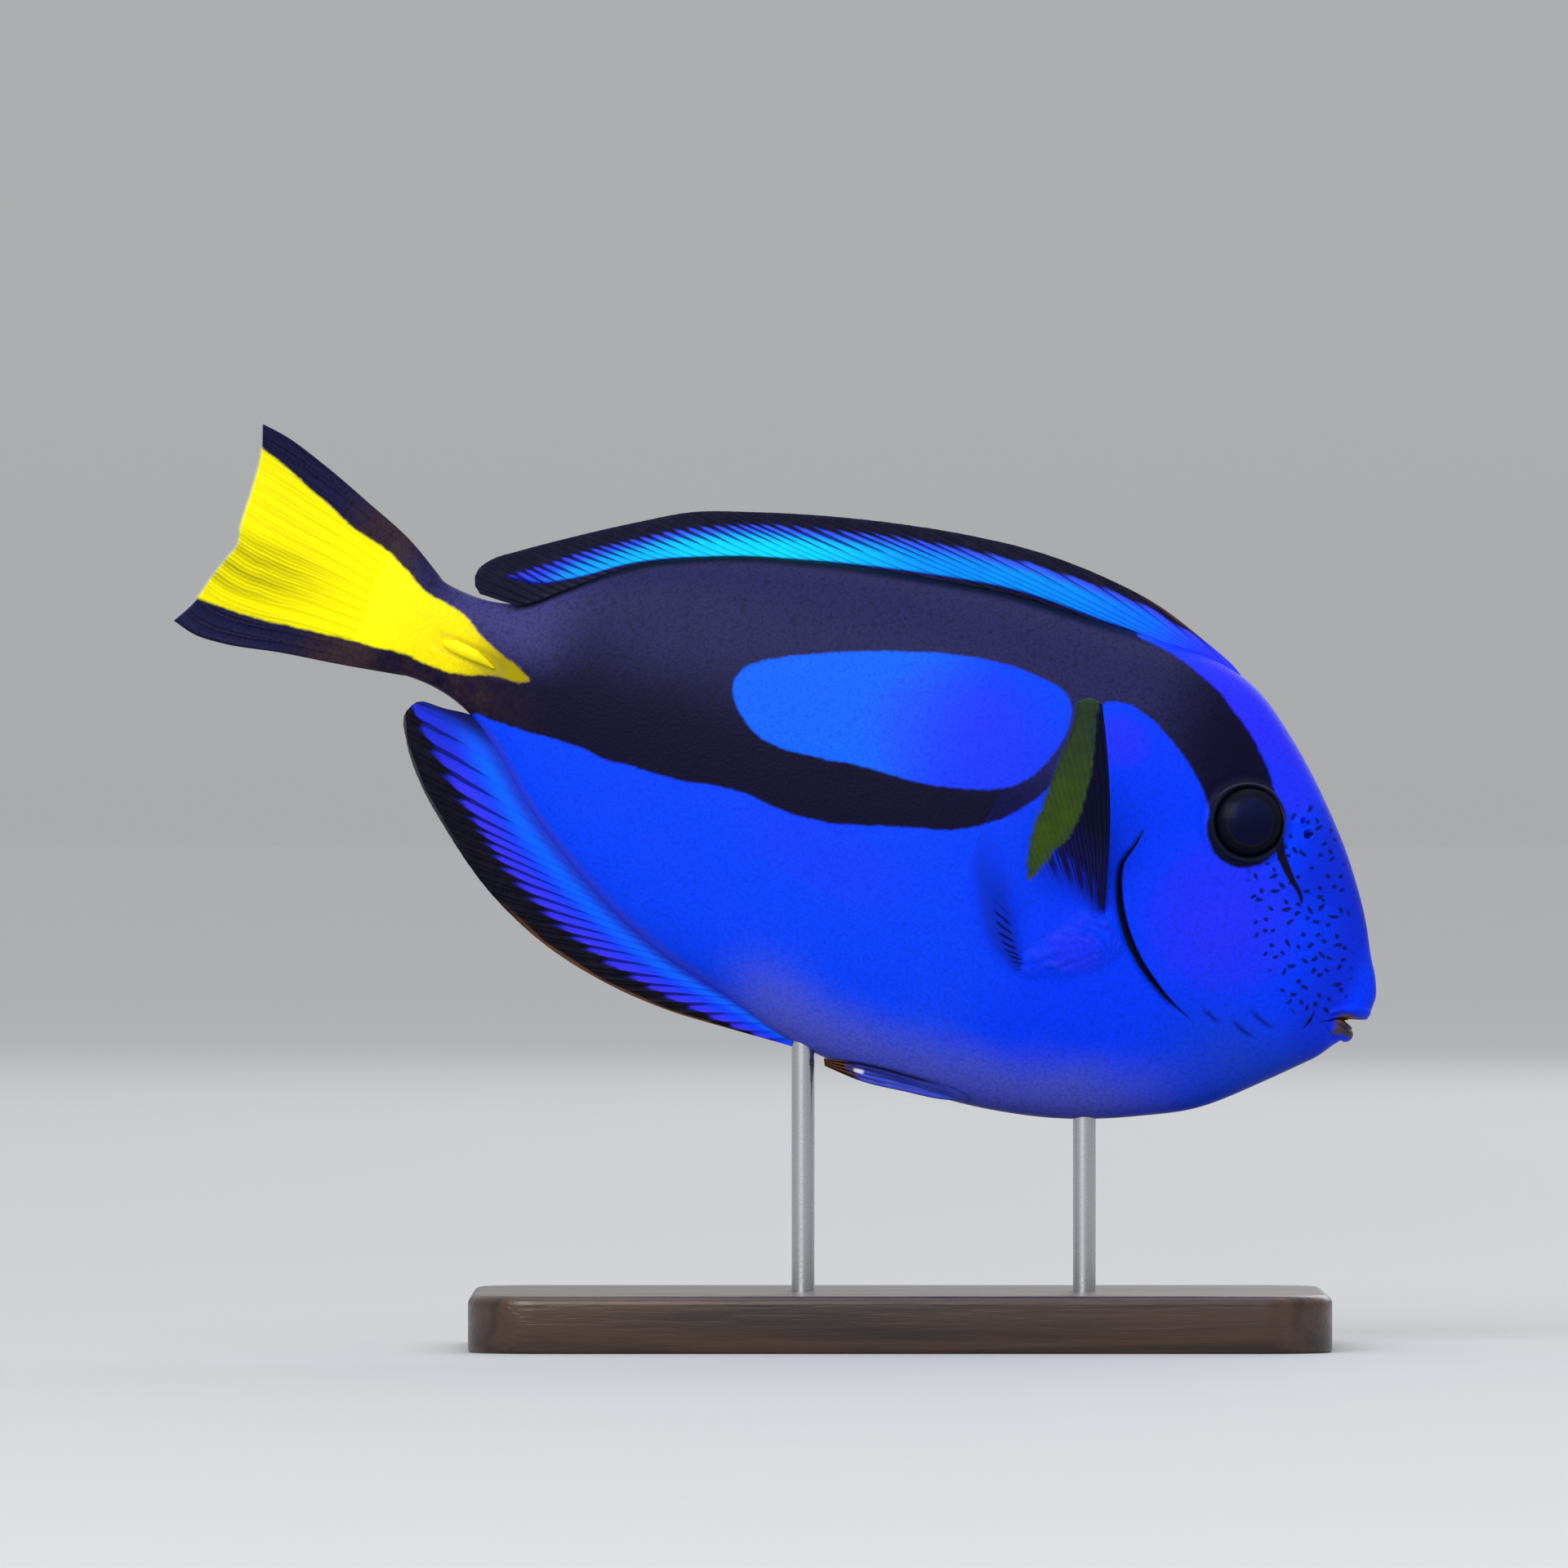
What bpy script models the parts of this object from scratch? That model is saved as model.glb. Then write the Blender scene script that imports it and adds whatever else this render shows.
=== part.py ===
"""A life-size regal blue tang, nose down as it swims, held on a plain stand by two rods.

The fish is drawn in its own frame, then tilted. There x runs forward from the tail with the tip of
the snout at 0, y runs to the fish's left and z runs up to its back. A station is the distance
behind the snout, so x is minus the station. Outlines are written in millimetres, as (station,
height) pairs, and turned into metres by the functions that read them.
"""

import math

import bmesh
import bpy
import numpy as np
from mathutils import Matrix, Vector

MM = 0.001
GAP = 0.3 * MM

# Pose and stand
PITCH = math.radians(22)
SNOUT_X = 105.4 * MM
BELLY_CLEARANCE = 30 * MM
BASE_LENGTH, BASE_WIDTH, BASE_THICKNESS = 150 * MM, 86 * MM, 10 * MM
BASE_X = 22 * MM
BASE_CORNER, BASE_BEVEL = 12 * MM, 1.2 * MM
ROD_RADIUS = 2 * MM
ROD_DEPTH_IN_BASE, ROD_DEPTH_IN_BODY = 6 * MM, 6 * MM
ROD_BEHIND_SNOUT = {"front": 51 * MM, "rear": 100.2 * MM}

# Body: back and belly lines without fins, half width, and the level where it is widest
BACK = ((0, 0.4), (1, 2.3), (3, 5.3), (6, 10.4), (12, 18.5), (21, 27.9), (30, 35.5), (39, 41.3),
        (46, 43.3), (58, 43), (70, 42), (85, 40.8), (100, 37.9), (120, 33), (135, 27.8),
        (150, 19.4), (158, 12.2), (163, 7.6), (168, 5.7), (174, 5.2), (178, 5.6))
BELLY = ((0, -9.1), (1, -10.5), (3, -12.4), (12, -21.7), (21, -30.1), (30, -35.4), (42, -40.8),
         (55, -44.3), (70, -46.2), (85, -46.7), (94, -45.9), (105, -43.4), (120, -40.2),
         (130, -36.5), (140, -31.5), (150, -25.2), (158, -18.8), (164, -14.8), (169, -12.9),
         (175, -12.1), (178, -12.2))
HALF_WIDTH = ((0, 2.3), (1, 3.2), (3, 4.4), (7, 6.1), (14, 8.5), (24, 11.3), (36, 13.9),
              (48, 15.6), (62, 16.3), (80, 15.8), (100, 13.9), (120, 11.3), (140, 8.2),
              (155, 5.9), (165, 4.6), (172, 3.8), (178, 2.6))
WIDEST_LEVEL = ((0, -4.4), (6, -3), (20, 2), (40, 6), (60, 6), (90, 3), (120, 0.5), (150, -2),
                (165, -3.4), (178, -3.3))
FULLNESS_ABOVE = ((0, 0.85), (30, 0.95), (90, 1.1), (178, 1))
FULLNESS_BELOW = ((0, 0.85), (30, 1), (90, 1.2), (178, 1))
RIDGE_HALF_WIDTH = 0.9 * MM
BODY_STATIONS = (0, 0.4, 1, 2, 3.2, 5, 7, 9.5, 12.5, 16, 20, 24, 28, 32, 36, 40, 44, 48, 52, 57,
                 62, 68, 74, 80, 86, 92, 98, 104, 110, 116, 122, 128, 134, 140, 145, 150, 154,
                 158, 161, 164, 167, 170, 174, 178)
POINTS_DOWN_A_SIDE = 14

# Cuts that part the body, as routes seen from the side
GILL_SLIT = ((48.6, 10.4), (49.6, 4), (48, -0.6), (45, -5.6), (41.6, -9.2), (37.5, -12.3),
             (33, -14.8), (28, -16.6))
NAPE_TO_SLIT = ((43.2, 47), (43.6, 40), (46, 26), (47.6, 16))
SLIT_TO_THROAT = ((24.6, -20), (22.8, -26), (21.4, -34))
JAW_CUT = ((3.2, -6.3), (7.2, -7.6), (9.4, -11), (10.4, -16), (10.8, -24))
TAIL_CUT_STATION = 165.2
CUT_REACH = 30 * MM
MOUTH_GAPE = ((-1.5, -4.3), (0.4, -4.8), (3.6, -6.3), (0.5, -7.5), (-1.5, -7.2))

# Lips, as tubes bent round the mouth: station and sideways place of their middle
LIP_ROUTE = ((6.4, 5.9), (4.2, 5.05), (2.3, 3.9), (1, 2.2), (0.75, 0))
UPPER_LIP_HEIGHT, UPPER_LIP_RADIUS, UPPER_LIP_SPREAD = -3.8 * MM, 1.05 * MM, 1
LOWER_LIP_HEIGHT, LOWER_LIP_RADIUS, LOWER_LIP_SPREAD = -8.3 * MM, 1.2 * MM, 0.9
LIP_CORNER_HEIGHT = -6.3 * MM

# Eyes and nostrils
EYE_STATION, EYE_HEIGHT = 32 * MM, 19.2 * MM
EYE_RADIUS, EYE_HALF_DEPTH, EYE_SUNK = 6.7 * MM, 4.2 * MM, 2.1 * MM
EYE_RIM_RADIUS, EYE_RIM_THICKNESS, EYE_RIM_SUNK = 6.9 * MM, 0.85 * MM, 0.5 * MM
NOSTRILS = ((23.2, 23, 0.6), (21.2, 21.4, 0.85))
NOSTRIL_DEPTH = 1.6 * MM

# Gill covers: a plate from the cheek back to the gill slit
COVER_FRONT = ((27.4, -17.2), (31.5, -11), (35, -4), (37.4, 3), (39.4, 9), (44, 11.2))
COVER_THICKNESS, COVER_PROUD = 1.4 * MM, 0.5 * MM
COVER_REACH = (18, 64)
ROOM_BEHIND_COVER = 5

# Fins: rays run from the root line to the margin
FIN_MIDDLE_HALF, FIN_MARGIN_HALF = 0.36 * MM, 0.26 * MM
RAY_RIDGE = 0.24 * MM
RAY_SHOULDER = 0.24
DORSAL_RAYS = 28
DORSAL_ROOT_STATIONS = (46, 163.6)
DORSAL_MARGIN = ((50.5, 45.6), (60, 48.4), (72, 49.6), (84, 49.3), (96, 47.5), (108, 44.8),
                 (120, 41.4), (132, 37.3), (143, 32.8), (150, 28.3), (162, 19.9), (168, 15.4),
                 (171.6, 12), (173, 9.2), (171.8, 6.9))
ANAL_RAYS = 21
ANAL_ROOT_STATIONS = (95, 164)
ANAL_MARGIN = ((97.5, -47.7), (103, -48.3), (114, -49.3), (126, -48.9), (138, -46.7),
               (150, -42), (162, -34.2), (168, -29.4), (173.6, -23), (175.8, -18.4),
               (174.6, -15.7), (170, -15))
CAUDAL_RAYS = 16
CAUDAL_ROOT_STATION = 178 + 0.3
CAUDAL_UPPER = ((178.3, 5.7), (185, 9.8), (195, 13.5), (205, 16.8), (213, 18.8), (218.2, 19.3))
CAUDAL_LOWER = ((178.3, -12.3), (190, -14.8), (200, -16.7), (210, -19), (215, -19.4),
                (219.8, -18.4))
CAUDAL_TRAILING = ((218.2, 19.3), (216.6, 15), (215.4, 8), (214, 0.6), (215.2, -3), (216.3, -9),
                   (217.7, -14.6), (219.8, -18.4))
CAUDAL_ROOT_HALF = ((0, 0.9), (0.12, 2), (0.5, 2.6), (0.88, 2), (1, 0.9))
CAUDAL_FLESHY_SHARE = 0.28
CAUDAL_WAVE = 1.1 * MM
PECTORAL_RAYS = 15
PECTORAL_ROOT = ((49.6, -5), (52, -9), (55.4, -14.2), (58.6, -19))
PECTORAL_MARGIN = ((65.7, 28.4), (68.6, 25.6), (72, 18), (74.4, 9), (75, 1), (74.4, -7),
                   (72, -14.4), (68, -18.8), (62, -20.8))
PECTORAL_BOW_FORWARD = 2.1 * MM
PECTORAL_LEAN = (math.radians(37), math.radians(22))
PECTORAL_ROOT_HALF = 1.1 * MM
PECTORAL_BOW_OUT = 0.55 * MM
PECTORAL_SUNK, PECTORAL_SOCKET_SUNK = 2.2 * MM, 2.5 * MM
PECTORAL_SOCKET_SPARE = 0.04
PELVIC_RAYS = 4
PELVIC_UPPER = ((59.2, -43.7), (63, -43.4), (70, -44), (78, -45), (85.2, -46.9))
PELVIC_LOWER = ((59.4, -44.3), (63, -45.6), (70, -46.9), (78, -48.1), (84.6, -48))
PELVIC_CLEARANCE = 0.75 * MM
PELVIC_NORMAL = (0, 0.94, 0.34)
TAIL_SPINE = ((174.2, -4.4, 0.5), (172, -4.2, 1.15), (168, -4.4, 1.05), (165.8, -4.8, 0.55),
              (164.2, -5.2, 0.12))
TAIL_SPINE_THICKNESS = 1.1 * MM


def smooth(stations):
    """A smooth function through (place, value) pairs."""
    x, y = (np.array(column, float) for column in zip(*stations))
    steps = np.diff(x)
    slopes = np.diff(y) / steps
    tangents = np.empty_like(y)
    tangents[0], tangents[-1] = slopes[0], slopes[-1]
    tangents[1:-1] = (slopes[:-1] * steps[1:] + slopes[1:] * steps[:-1]) / (steps[:-1] + steps[1:])

    def value(at):
        at = np.clip(at, x[0], x[-1])
        i = np.clip(np.searchsorted(x, at, side="right") - 1, 0, len(steps) - 1)
        t = (at - x[i]) / steps[i]
        return ((1 + 2 * t) * (1 - t) ** 2 * y[i] + t * (1 - t) ** 2 * steps[i] * tangents[i]
                + t * t * (3 - 2 * t) * y[i + 1] + t * t * (t - 1) * steps[i] * tangents[i + 1])

    return value


def route(points, count):
    """Evenly spaced points along a smooth curve through the given ones."""
    points = np.array(points, float)
    along = np.concatenate([[0], np.cumsum(np.linalg.norm(np.diff(points, axis=0), axis=1))])
    columns = [smooth(list(zip(along, column))) for column in points.T]
    fine = np.array([[c(a) for c in columns] for a in np.linspace(0, along[-1], 12 * count)])
    length = np.concatenate([[0], np.cumsum(np.linalg.norm(np.diff(fine, axis=0), axis=1))])
    wanted = np.linspace(0, length[-1], count)
    return np.array([np.interp(wanted, length, column) for column in fine.T]).T


BACK_AT, BELLY_AT, HALF_WIDTH_AT = smooth(BACK), smooth(BELLY), smooth(HALF_WIDTH)
WIDEST_AT = smooth(WIDEST_LEVEL)
ABOVE_AT, BELOW_AT = smooth(FULLNESS_ABOVE), smooth(FULLNESS_BELOW)


def side_of_body(station, height, outset=0.0):
    """Half width of the body at a station and height, both in metres."""
    s, z = station / MM, height / MM
    level = WIDEST_AT(s)
    above = z > level
    reach = BACK_AT(s) - level if above else level - BELLY_AT(s)
    fullness = ABOVE_AT(s) if above else BELOW_AT(s)
    level_share = min(1.0, abs(z - level) / reach)
    swell = max(0.0, 1 - level_share ** 2) ** (fullness / 2)
    return RIDGE_HALF_WIDTH + (HALF_WIDTH_AT(s) * MM - RIDGE_HALF_WIDTH + outset) * swell


def normal_of_body(station, height):
    """Outward direction of the left side of the body."""
    step = 0.5 * MM
    along = (side_of_body(station + step, height) - side_of_body(station - step, height)) / (2 * step)
    up = (side_of_body(station, height + step) - side_of_body(station, height - step)) / (2 * step)
    return Vector((along, 1, -up)).normalized()


def section(station_mm, outset=0.0):
    """One ring of the body, down its left side and up its right."""
    top, bottom, level = (f(station_mm) for f in (BACK_AT, BELLY_AT, WIDEST_AT))
    ring = []
    for i in range(POINTS_DOWN_A_SIDE + 1):
        angle = math.pi * i / POINTS_DOWN_A_SIDE
        reach = top - level if angle < math.pi / 2 else level - bottom
        z = (level + reach * math.cos(angle)) * MM
        ring.append((-station_mm * MM, side_of_body(station_mm * MM, z, outset), z))
    return ring + [(x, -y, z) for x, y, z in reversed(ring)]


def solid(name, points, faces):
    """An object from points and faces, with its faces turned outwards."""
    mesh = bpy.data.meshes.new(name)
    mesh.from_pydata([tuple(p) for p in points], [], [tuple(f) for f in faces])
    form = bmesh.new()
    form.from_mesh(mesh)
    bmesh.ops.triangulate(form, faces=form.faces[:])
    bmesh.ops.recalc_face_normals(form, faces=form.faces[:])
    form.to_mesh(mesh)
    form.free()
    made = bpy.data.objects.new(name, mesh)
    bpy.context.scene.collection.objects.link(made)
    return made


def loft(name, rings):
    """A closed solid through rings of equally many points."""
    count = len(rings[0])
    points = [p for ring in rings for p in ring]
    faces = [(r * count + i, r * count + (i + 1) % count, (r + 1) * count + (i + 1) % count,
              (r + 1) * count + i) for r in range(len(rings) - 1) for i in range(count)]
    for first in (0, (len(rings) - 1) * count):
        middle = len(points)
        points.append(tuple(np.mean(points[first:first + count], axis=0)))
        faces += [(first + i, first + (i + 1) % count, middle) for i in range(count)]
    return solid(name, points, faces)


def side_prism(name, outline_mm, y_low, y_high):
    """An outline seen from the side, made solid between two sideways places."""
    rings = [[(-s * MM, y, z * MM) for s, z in outline_mm] for y in (y_low, y_high)]
    return loft(name, rings)


def beside(route_mm, distance_mm):
    """A route moved sideways, to its left as it is drawn with stations running to the right."""
    points = np.array(route_mm, float)
    along = np.gradient(points, axis=0)
    across = np.stack([-along[:, 1], along[:, 0]], axis=1)
    return points + across * distance_mm / np.linalg.norm(across, axis=1)[:, None]


def side_wall(name, route_mm, half_depth):
    """A wall as thick as the gap, along a route seen from the side."""
    half_gap = GAP / 2 / MM
    rings = [[(-s0 * MM, -half_depth, z0 * MM), (-s1 * MM, -half_depth, z1 * MM),
              (-s1 * MM, half_depth, z1 * MM), (-s0 * MM, half_depth, z0 * MM)]
             for (s0, z0), (s1, z1) in zip(beside(route_mm, -half_gap), beside(route_mm, half_gap))]
    return loft(name, rings)


def combine(target, other, operation="DIFFERENCE"):
    """Cuts, joins or meets target with other, then removes other."""
    modifier = target.modifiers.new("join", "BOOLEAN")
    modifier.operation, modifier.object, modifier.solver = operation, other, "EXACT"
    graph = bpy.context.evaluated_depsgraph_get()
    made = bpy.data.meshes.new_from_object(target.evaluated_get(graph))
    target.modifiers.clear()
    target.data = made
    bpy.data.objects.remove(other)
    return target


def islands(target):
    """The separate bodies of an object as new objects, largest first. The object is removed."""
    form = bmesh.new()
    form.from_mesh(target.data)
    form.verts.ensure_lookup_table()
    seen, groups = set(), []
    for start in form.faces:
        if start in seen:
            continue
        seen.add(start)
        group = [start]
        for face in group:
            for edge in face.edges:
                for neighbour in edge.link_faces:
                    if neighbour not in seen:
                        seen.add(neighbour)
                        group.append(neighbour)
        groups.append(group)
    made = []
    for group in sorted(groups, key=len, reverse=True):
        corners = sorted({v.index for f in group for v in f.verts})
        place = {corner: i for i, corner in enumerate(corners)}
        made.append(solid(target.name, [form.verts[corner].co for corner in corners],
                          [[place[v.index] for v in f.verts] for f in group]))
    form.free()
    bpy.data.objects.remove(target)
    return made


def mirrored(source, name):
    """A copy of a right-hand piece on the left side of the fish."""
    points = [(v.co.x, -v.co.y, v.co.z) for v in source.data.vertices]
    return solid(name, points, [p.vertices for p in source.data.polygons])


def ray_columns(rays):
    """Places across a fin from 0 to 1, and whether each is the crest of a ray."""
    columns = []
    for ray in range(rays):
        if ray > 0:
            columns.append((ray - RAY_SHOULDER, False))
        columns.append((ray, True))
        if ray < rays - 1:
            columns.append((ray + RAY_SHOULDER, False))
    return [(place / (rays - 1), crest) for place, crest in columns]


def sheet(name, grid, halves, normal):
    """A closed sheet round a grid of points. Both faces are split into triangles alike."""
    grid, halves = np.array(grid, float), np.array(halves, float)
    rows, columns = halves.shape
    offset = halves[..., None] * np.array(normal, float)
    points = np.concatenate([(grid + offset).reshape(-1, 3), (grid - offset).reshape(-1, 3)])
    back = rows * columns
    faces = []
    for r in range(rows - 1):
        for c in range(columns - 1):
            a, b = r * columns + c, r * columns + c + 1
            d, e = a + columns, b + columns
            faces += [(a, b, e), (a, e, d), (back + a, back + e, back + b),
                      (back + a, back + d, back + e)]
    rim = [r * columns for r in range(rows)]
    rim += [(rows - 1) * columns + c for c in range(1, columns)]
    rim += [r * columns + columns - 1 for r in range(rows - 2, -1, -1)]
    rim += list(range(columns - 2, 0, -1))
    for i, a in enumerate(rim):
        b = rim[(i + 1) % len(rim)]
        faces += [(a, b, back + b), (a, back + b, back + a)]
    return solid(name, points, faces)


def ridged_fin(name, rays, point_at, half_at, shares, normal=(0, 1, 0), bare_share=0.0):
    """A fin whose rays are ridges of its own membrane.

    Both functions take a place across the fin, from its first ray to its last, and a share of the
    way from root to margin. The rays stand up past the bare share.
    """
    grid, halves = [], []
    for share in shares:
        ridge = 0.0
        if bare_share < share < 1:
            ridge = RAY_RIDGE * math.sin(math.pi * (0.25 + 0.75 * share)) ** 0.5
        grid.append([point_at(place, share) for place, _ in ray_columns(rays)])
        halves.append([half_at(place, share) + ridge * crest for place, crest in ray_columns(rays)])
    return sheet(name, grid, halves, normal)


def thinning(root_half):
    """Half thickness of a fin from its fleshy root to its margin."""
    profile = smooth(((0, root_half / MM), (0.16, max(0.62 * root_half / MM, 0.4)),
                      (0.5, FIN_MIDDLE_HALF / MM), (1, FIN_MARGIN_HALF / MM)))
    return lambda place, share: profile(share) * MM


def between(roots, margins):
    """Points on straight rays from a root line to a margin."""
    return lambda place, share: roots(place) + (margins(place) - roots(place)) * share


def in_plane(points_mm, count=60):
    """A function of a share from 0 to 1 that walks an outline in the fish's middle plane."""
    walked = route(points_mm, count)
    shares = np.linspace(0, 1, count)

    def at(share):
        s, z = (np.interp(share, shares, column) for column in walked.T)
        return np.array([-s * MM, 0, z * MM])

    return at


def ridge_line(stations, line, side):
    """The root of a fin that stands on the back (side 1) or the belly (side -1)."""
    first, last = stations
    step = 0.2

    def at(share):
        s = first + (last - first) * share
        slope = (line(s + step) - line(s - step)) / (2 * step)
        away = np.array([slope, 1]) / math.hypot(slope, 1) * side * GAP / MM
        return np.array([(-s + away[0]) * MM, 0, (line(s) + away[1]) * MM])

    return at


def make_body():
    """The head, lower jaw, trunk and tail base, cut from one loft of the whole fish."""
    whole = loft("body", [section(s) for s in BODY_STATIONS])
    for height, radius, spread in ((UPPER_LIP_HEIGHT, UPPER_LIP_RADIUS, UPPER_LIP_SPREAD),
                                   (LOWER_LIP_HEIGHT, LOWER_LIP_RADIUS, LOWER_LIP_SPREAD)):
        combine(whole, lip(height, radius, spread), "UNION")
    combine(whole, side_prism("gape", MOUTH_GAPE, -CUT_REACH, CUT_REACH))
    combine(whole, side_wall("jaw_cut", route(JAW_CUT, 9), CUT_REACH))
    gill_cut = route(NAPE_TO_SLIT + GILL_SLIT + SLIT_TO_THROAT, 34)
    combine(whole, side_wall("gill_cut", gill_cut, CUT_REACH))
    tail_cut = ((TAIL_CUT_STATION, 20), (TAIL_CUT_STATION, -30))
    combine(whole, side_wall("tail_cut", tail_cut, CUT_REACH))
    from_the_tail = sorted(islands(whole)[:4], key=lambda o: max(v.co.x for v in o.data.vertices))
    tail_base, trunk = from_the_tail[:2]
    jaw, head = sorted(from_the_tail[2:], key=lambda o: len(o.data.vertices))
    for piece, name in ((tail_base, "tail_base"), (trunk, "trunk"), (head, "head"), (jaw, "lower_jaw")):
        piece.name = piece.data.name = name
    return head, trunk


def lip(height, radius, spread):
    """A tube bent round the front of the mouth, thin at both corners."""
    half = route(LIP_ROUTE, 9) * (1, spread)
    middle = np.concatenate([half, half[-2::-1] * (1, -1)])
    sides = 8
    rings = []
    last = len(middle) - 1
    for i, (s, y) in enumerate(middle):
        before, after = middle[max(0, i - 1)], middle[min(last, i + 1)]
        along = np.array([-(after - before)[0], (after - before)[1]])
        out = np.array([along[1], -along[0]]) / np.linalg.norm(along)
        end = abs(2 * i / last - 1) ** 4
        thick = radius * (1 - 0.75 * end)
        z = height + (LIP_CORNER_HEIGHT - height) * end
        rings.append([(-s * MM + out[0] * thick * math.cos(a), y * MM + out[1] * thick * math.cos(a),
                       z + thick * math.sin(a)) for a in np.linspace(0, math.tau, sides, endpoint=False)])
    return loft("lip", rings)


def turned_to(axis):
    """The turn that points a piece's own z axis along axis."""
    return axis.to_track_quat("Z", "Y").to_matrix().to_4x4()


def ball(name, radius, half_depth, place, axis, grow=0.0):
    """A flattened ball whose short axis points along axis."""
    bpy.ops.mesh.primitive_uv_sphere_add(segments=26, ring_count=13, radius=1)
    made = bpy.context.object
    made.name = made.data.name = name
    size = Matrix.Diagonal((radius + grow, radius + grow, half_depth + grow, 1))
    made.data.transform(Matrix.Translation(place) @ turned_to(axis) @ size)
    return made


def eye_place():
    """Middle and outward axis of the right eye."""
    out = normal_of_body(EYE_STATION, EYE_HEIGHT)
    out = Vector((out.x * 0.75, -out.y, out.z * 0.5)).normalized()
    surface = Vector((-EYE_STATION, -side_of_body(EYE_STATION, EYE_HEIGHT), EYE_HEIGHT))
    return surface - out * EYE_SUNK, out


def make_eyes(head):
    """Two domed eyes, each in a socket of the head with a low ring of skin round it."""
    place, out = eye_place()
    flip = Vector((1, -1, 1))
    for name, where, axis in (("eye_right", place, out), ("eye_left", place * flip, out * flip)):
        bpy.ops.mesh.primitive_torus_add(major_radius=EYE_RIM_RADIUS, minor_radius=EYE_RIM_THICKNESS,
                                         major_segments=26, minor_segments=8)
        rim = bpy.context.object
        rim_place = Matrix.Translation(where + axis * (EYE_SUNK - EYE_RIM_SUNK))
        rim.data.transform(rim_place @ turned_to(axis))
        combine(head, rim, "UNION")
        combine(head, ball("socket", EYE_RADIUS, EYE_HALF_DEPTH, where, axis, GAP))
        ball(name, EYE_RADIUS, EYE_HALF_DEPTH, where, axis)


def make_nostrils(head):
    """Two small pits before each eye."""
    for station, height, radius in NOSTRILS:
        out = normal_of_body(station * MM, height * MM)
        surface = Vector((-station * MM, side_of_body(station * MM, height * MM), height * MM))
        for side in (1, -1):
            flip = Vector((1, side, 1))
            bpy.ops.mesh.primitive_cone_add(vertices=10, radius1=radius * MM, radius2=radius * 0.4 * MM,
                                            depth=2 * NOSTRIL_DEPTH)
            pit = bpy.context.object
            pit.data.transform(Matrix.Translation(surface * flip) @ turned_to(-out * flip))
            combine(head, pit)


def make_gill_covers(head):
    """A plate on each cheek, proud of the body, with the gill slit behind it."""
    slit, edge = route(GILL_SLIT, 16), route(COVER_FRONT, 12)
    outline = np.concatenate([edge, beside(slit, -GAP / 2 / MM)])
    room_outline = np.concatenate([beside(edge, GAP / MM), beside(slit, ROOM_BEHIND_COVER)])
    stations = [s for s in BODY_STATIONS if COVER_REACH[0] < s < COVER_REACH[1]]
    for name, side in (("gill_cover_right", -1), ("gill_cover_left", 1)):
        low, high = sorted((side * 2 * MM, side * 40 * MM))
        cover = loft(name, [section(s, COVER_PROUD) for s in stations])
        combine(cover, side_prism("outline", outline, low, high), "INTERSECT")
        combine(cover, loft("inside", [section(s, -COVER_THICKNESS) for s in stations]))
        room = side_prism("room", room_outline, low, high)
        combine(room, loft("cheek", [section(s, -COVER_THICKNESS - GAP) for s in stations]))
        combine(head, room)


def make_middle_fins():
    """The dorsal and anal fins, on the ridges of the back and belly."""
    shares = (0, 0.2, 0.45, 0.72, 1)
    half = thinning(RIDGE_HALF_WIDTH)
    back = ridge_line(DORSAL_ROOT_STATIONS, BACK_AT, 1)
    belly = ridge_line(ANAL_ROOT_STATIONS, BELLY_AT, -1)
    ridged_fin("dorsal_fin", DORSAL_RAYS, between(back, in_plane(DORSAL_MARGIN)), half, shares)
    ridged_fin("anal_fin", ANAL_RAYS, between(belly, in_plane(ANAL_MARGIN)), half, shares)


def make_caudal_fin():
    """The tail fin, as wide at its root as the tail base, with two short lobes."""
    upper, lower, trailing = in_plane(CAUDAL_UPPER), in_plane(CAUDAL_LOWER), in_plane(CAUDAL_TRAILING)
    root_half, thin = smooth(CAUDAL_ROOT_HALF), thinning(0.72 * MM)

    def point(place, share):
        root_x = -CAUDAL_ROOT_STATION * MM
        top, bottom = upper(share)[2], lower(share)[2]
        wave = CAUDAL_WAVE * share ** 2 * math.sin(math.tau * 1.25 * place)
        return np.array([root_x + (trailing(place)[0] - root_x) * share, wave,
                         top + (bottom - top) * place])

    def half(place, share):
        flesh = max(0, 1 - share / CAUDAL_FLESHY_SHARE) ** 1.5
        return root_half(place) * MM * flesh + thin(place, share) * (1 - flesh)

    ridged_fin("caudal_fin", CAUDAL_RAYS, point, half, (0, 0.05, 0.14, 0.28, 0.46, 0.66, 0.84, 1),
               bare_share=0.1)


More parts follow.
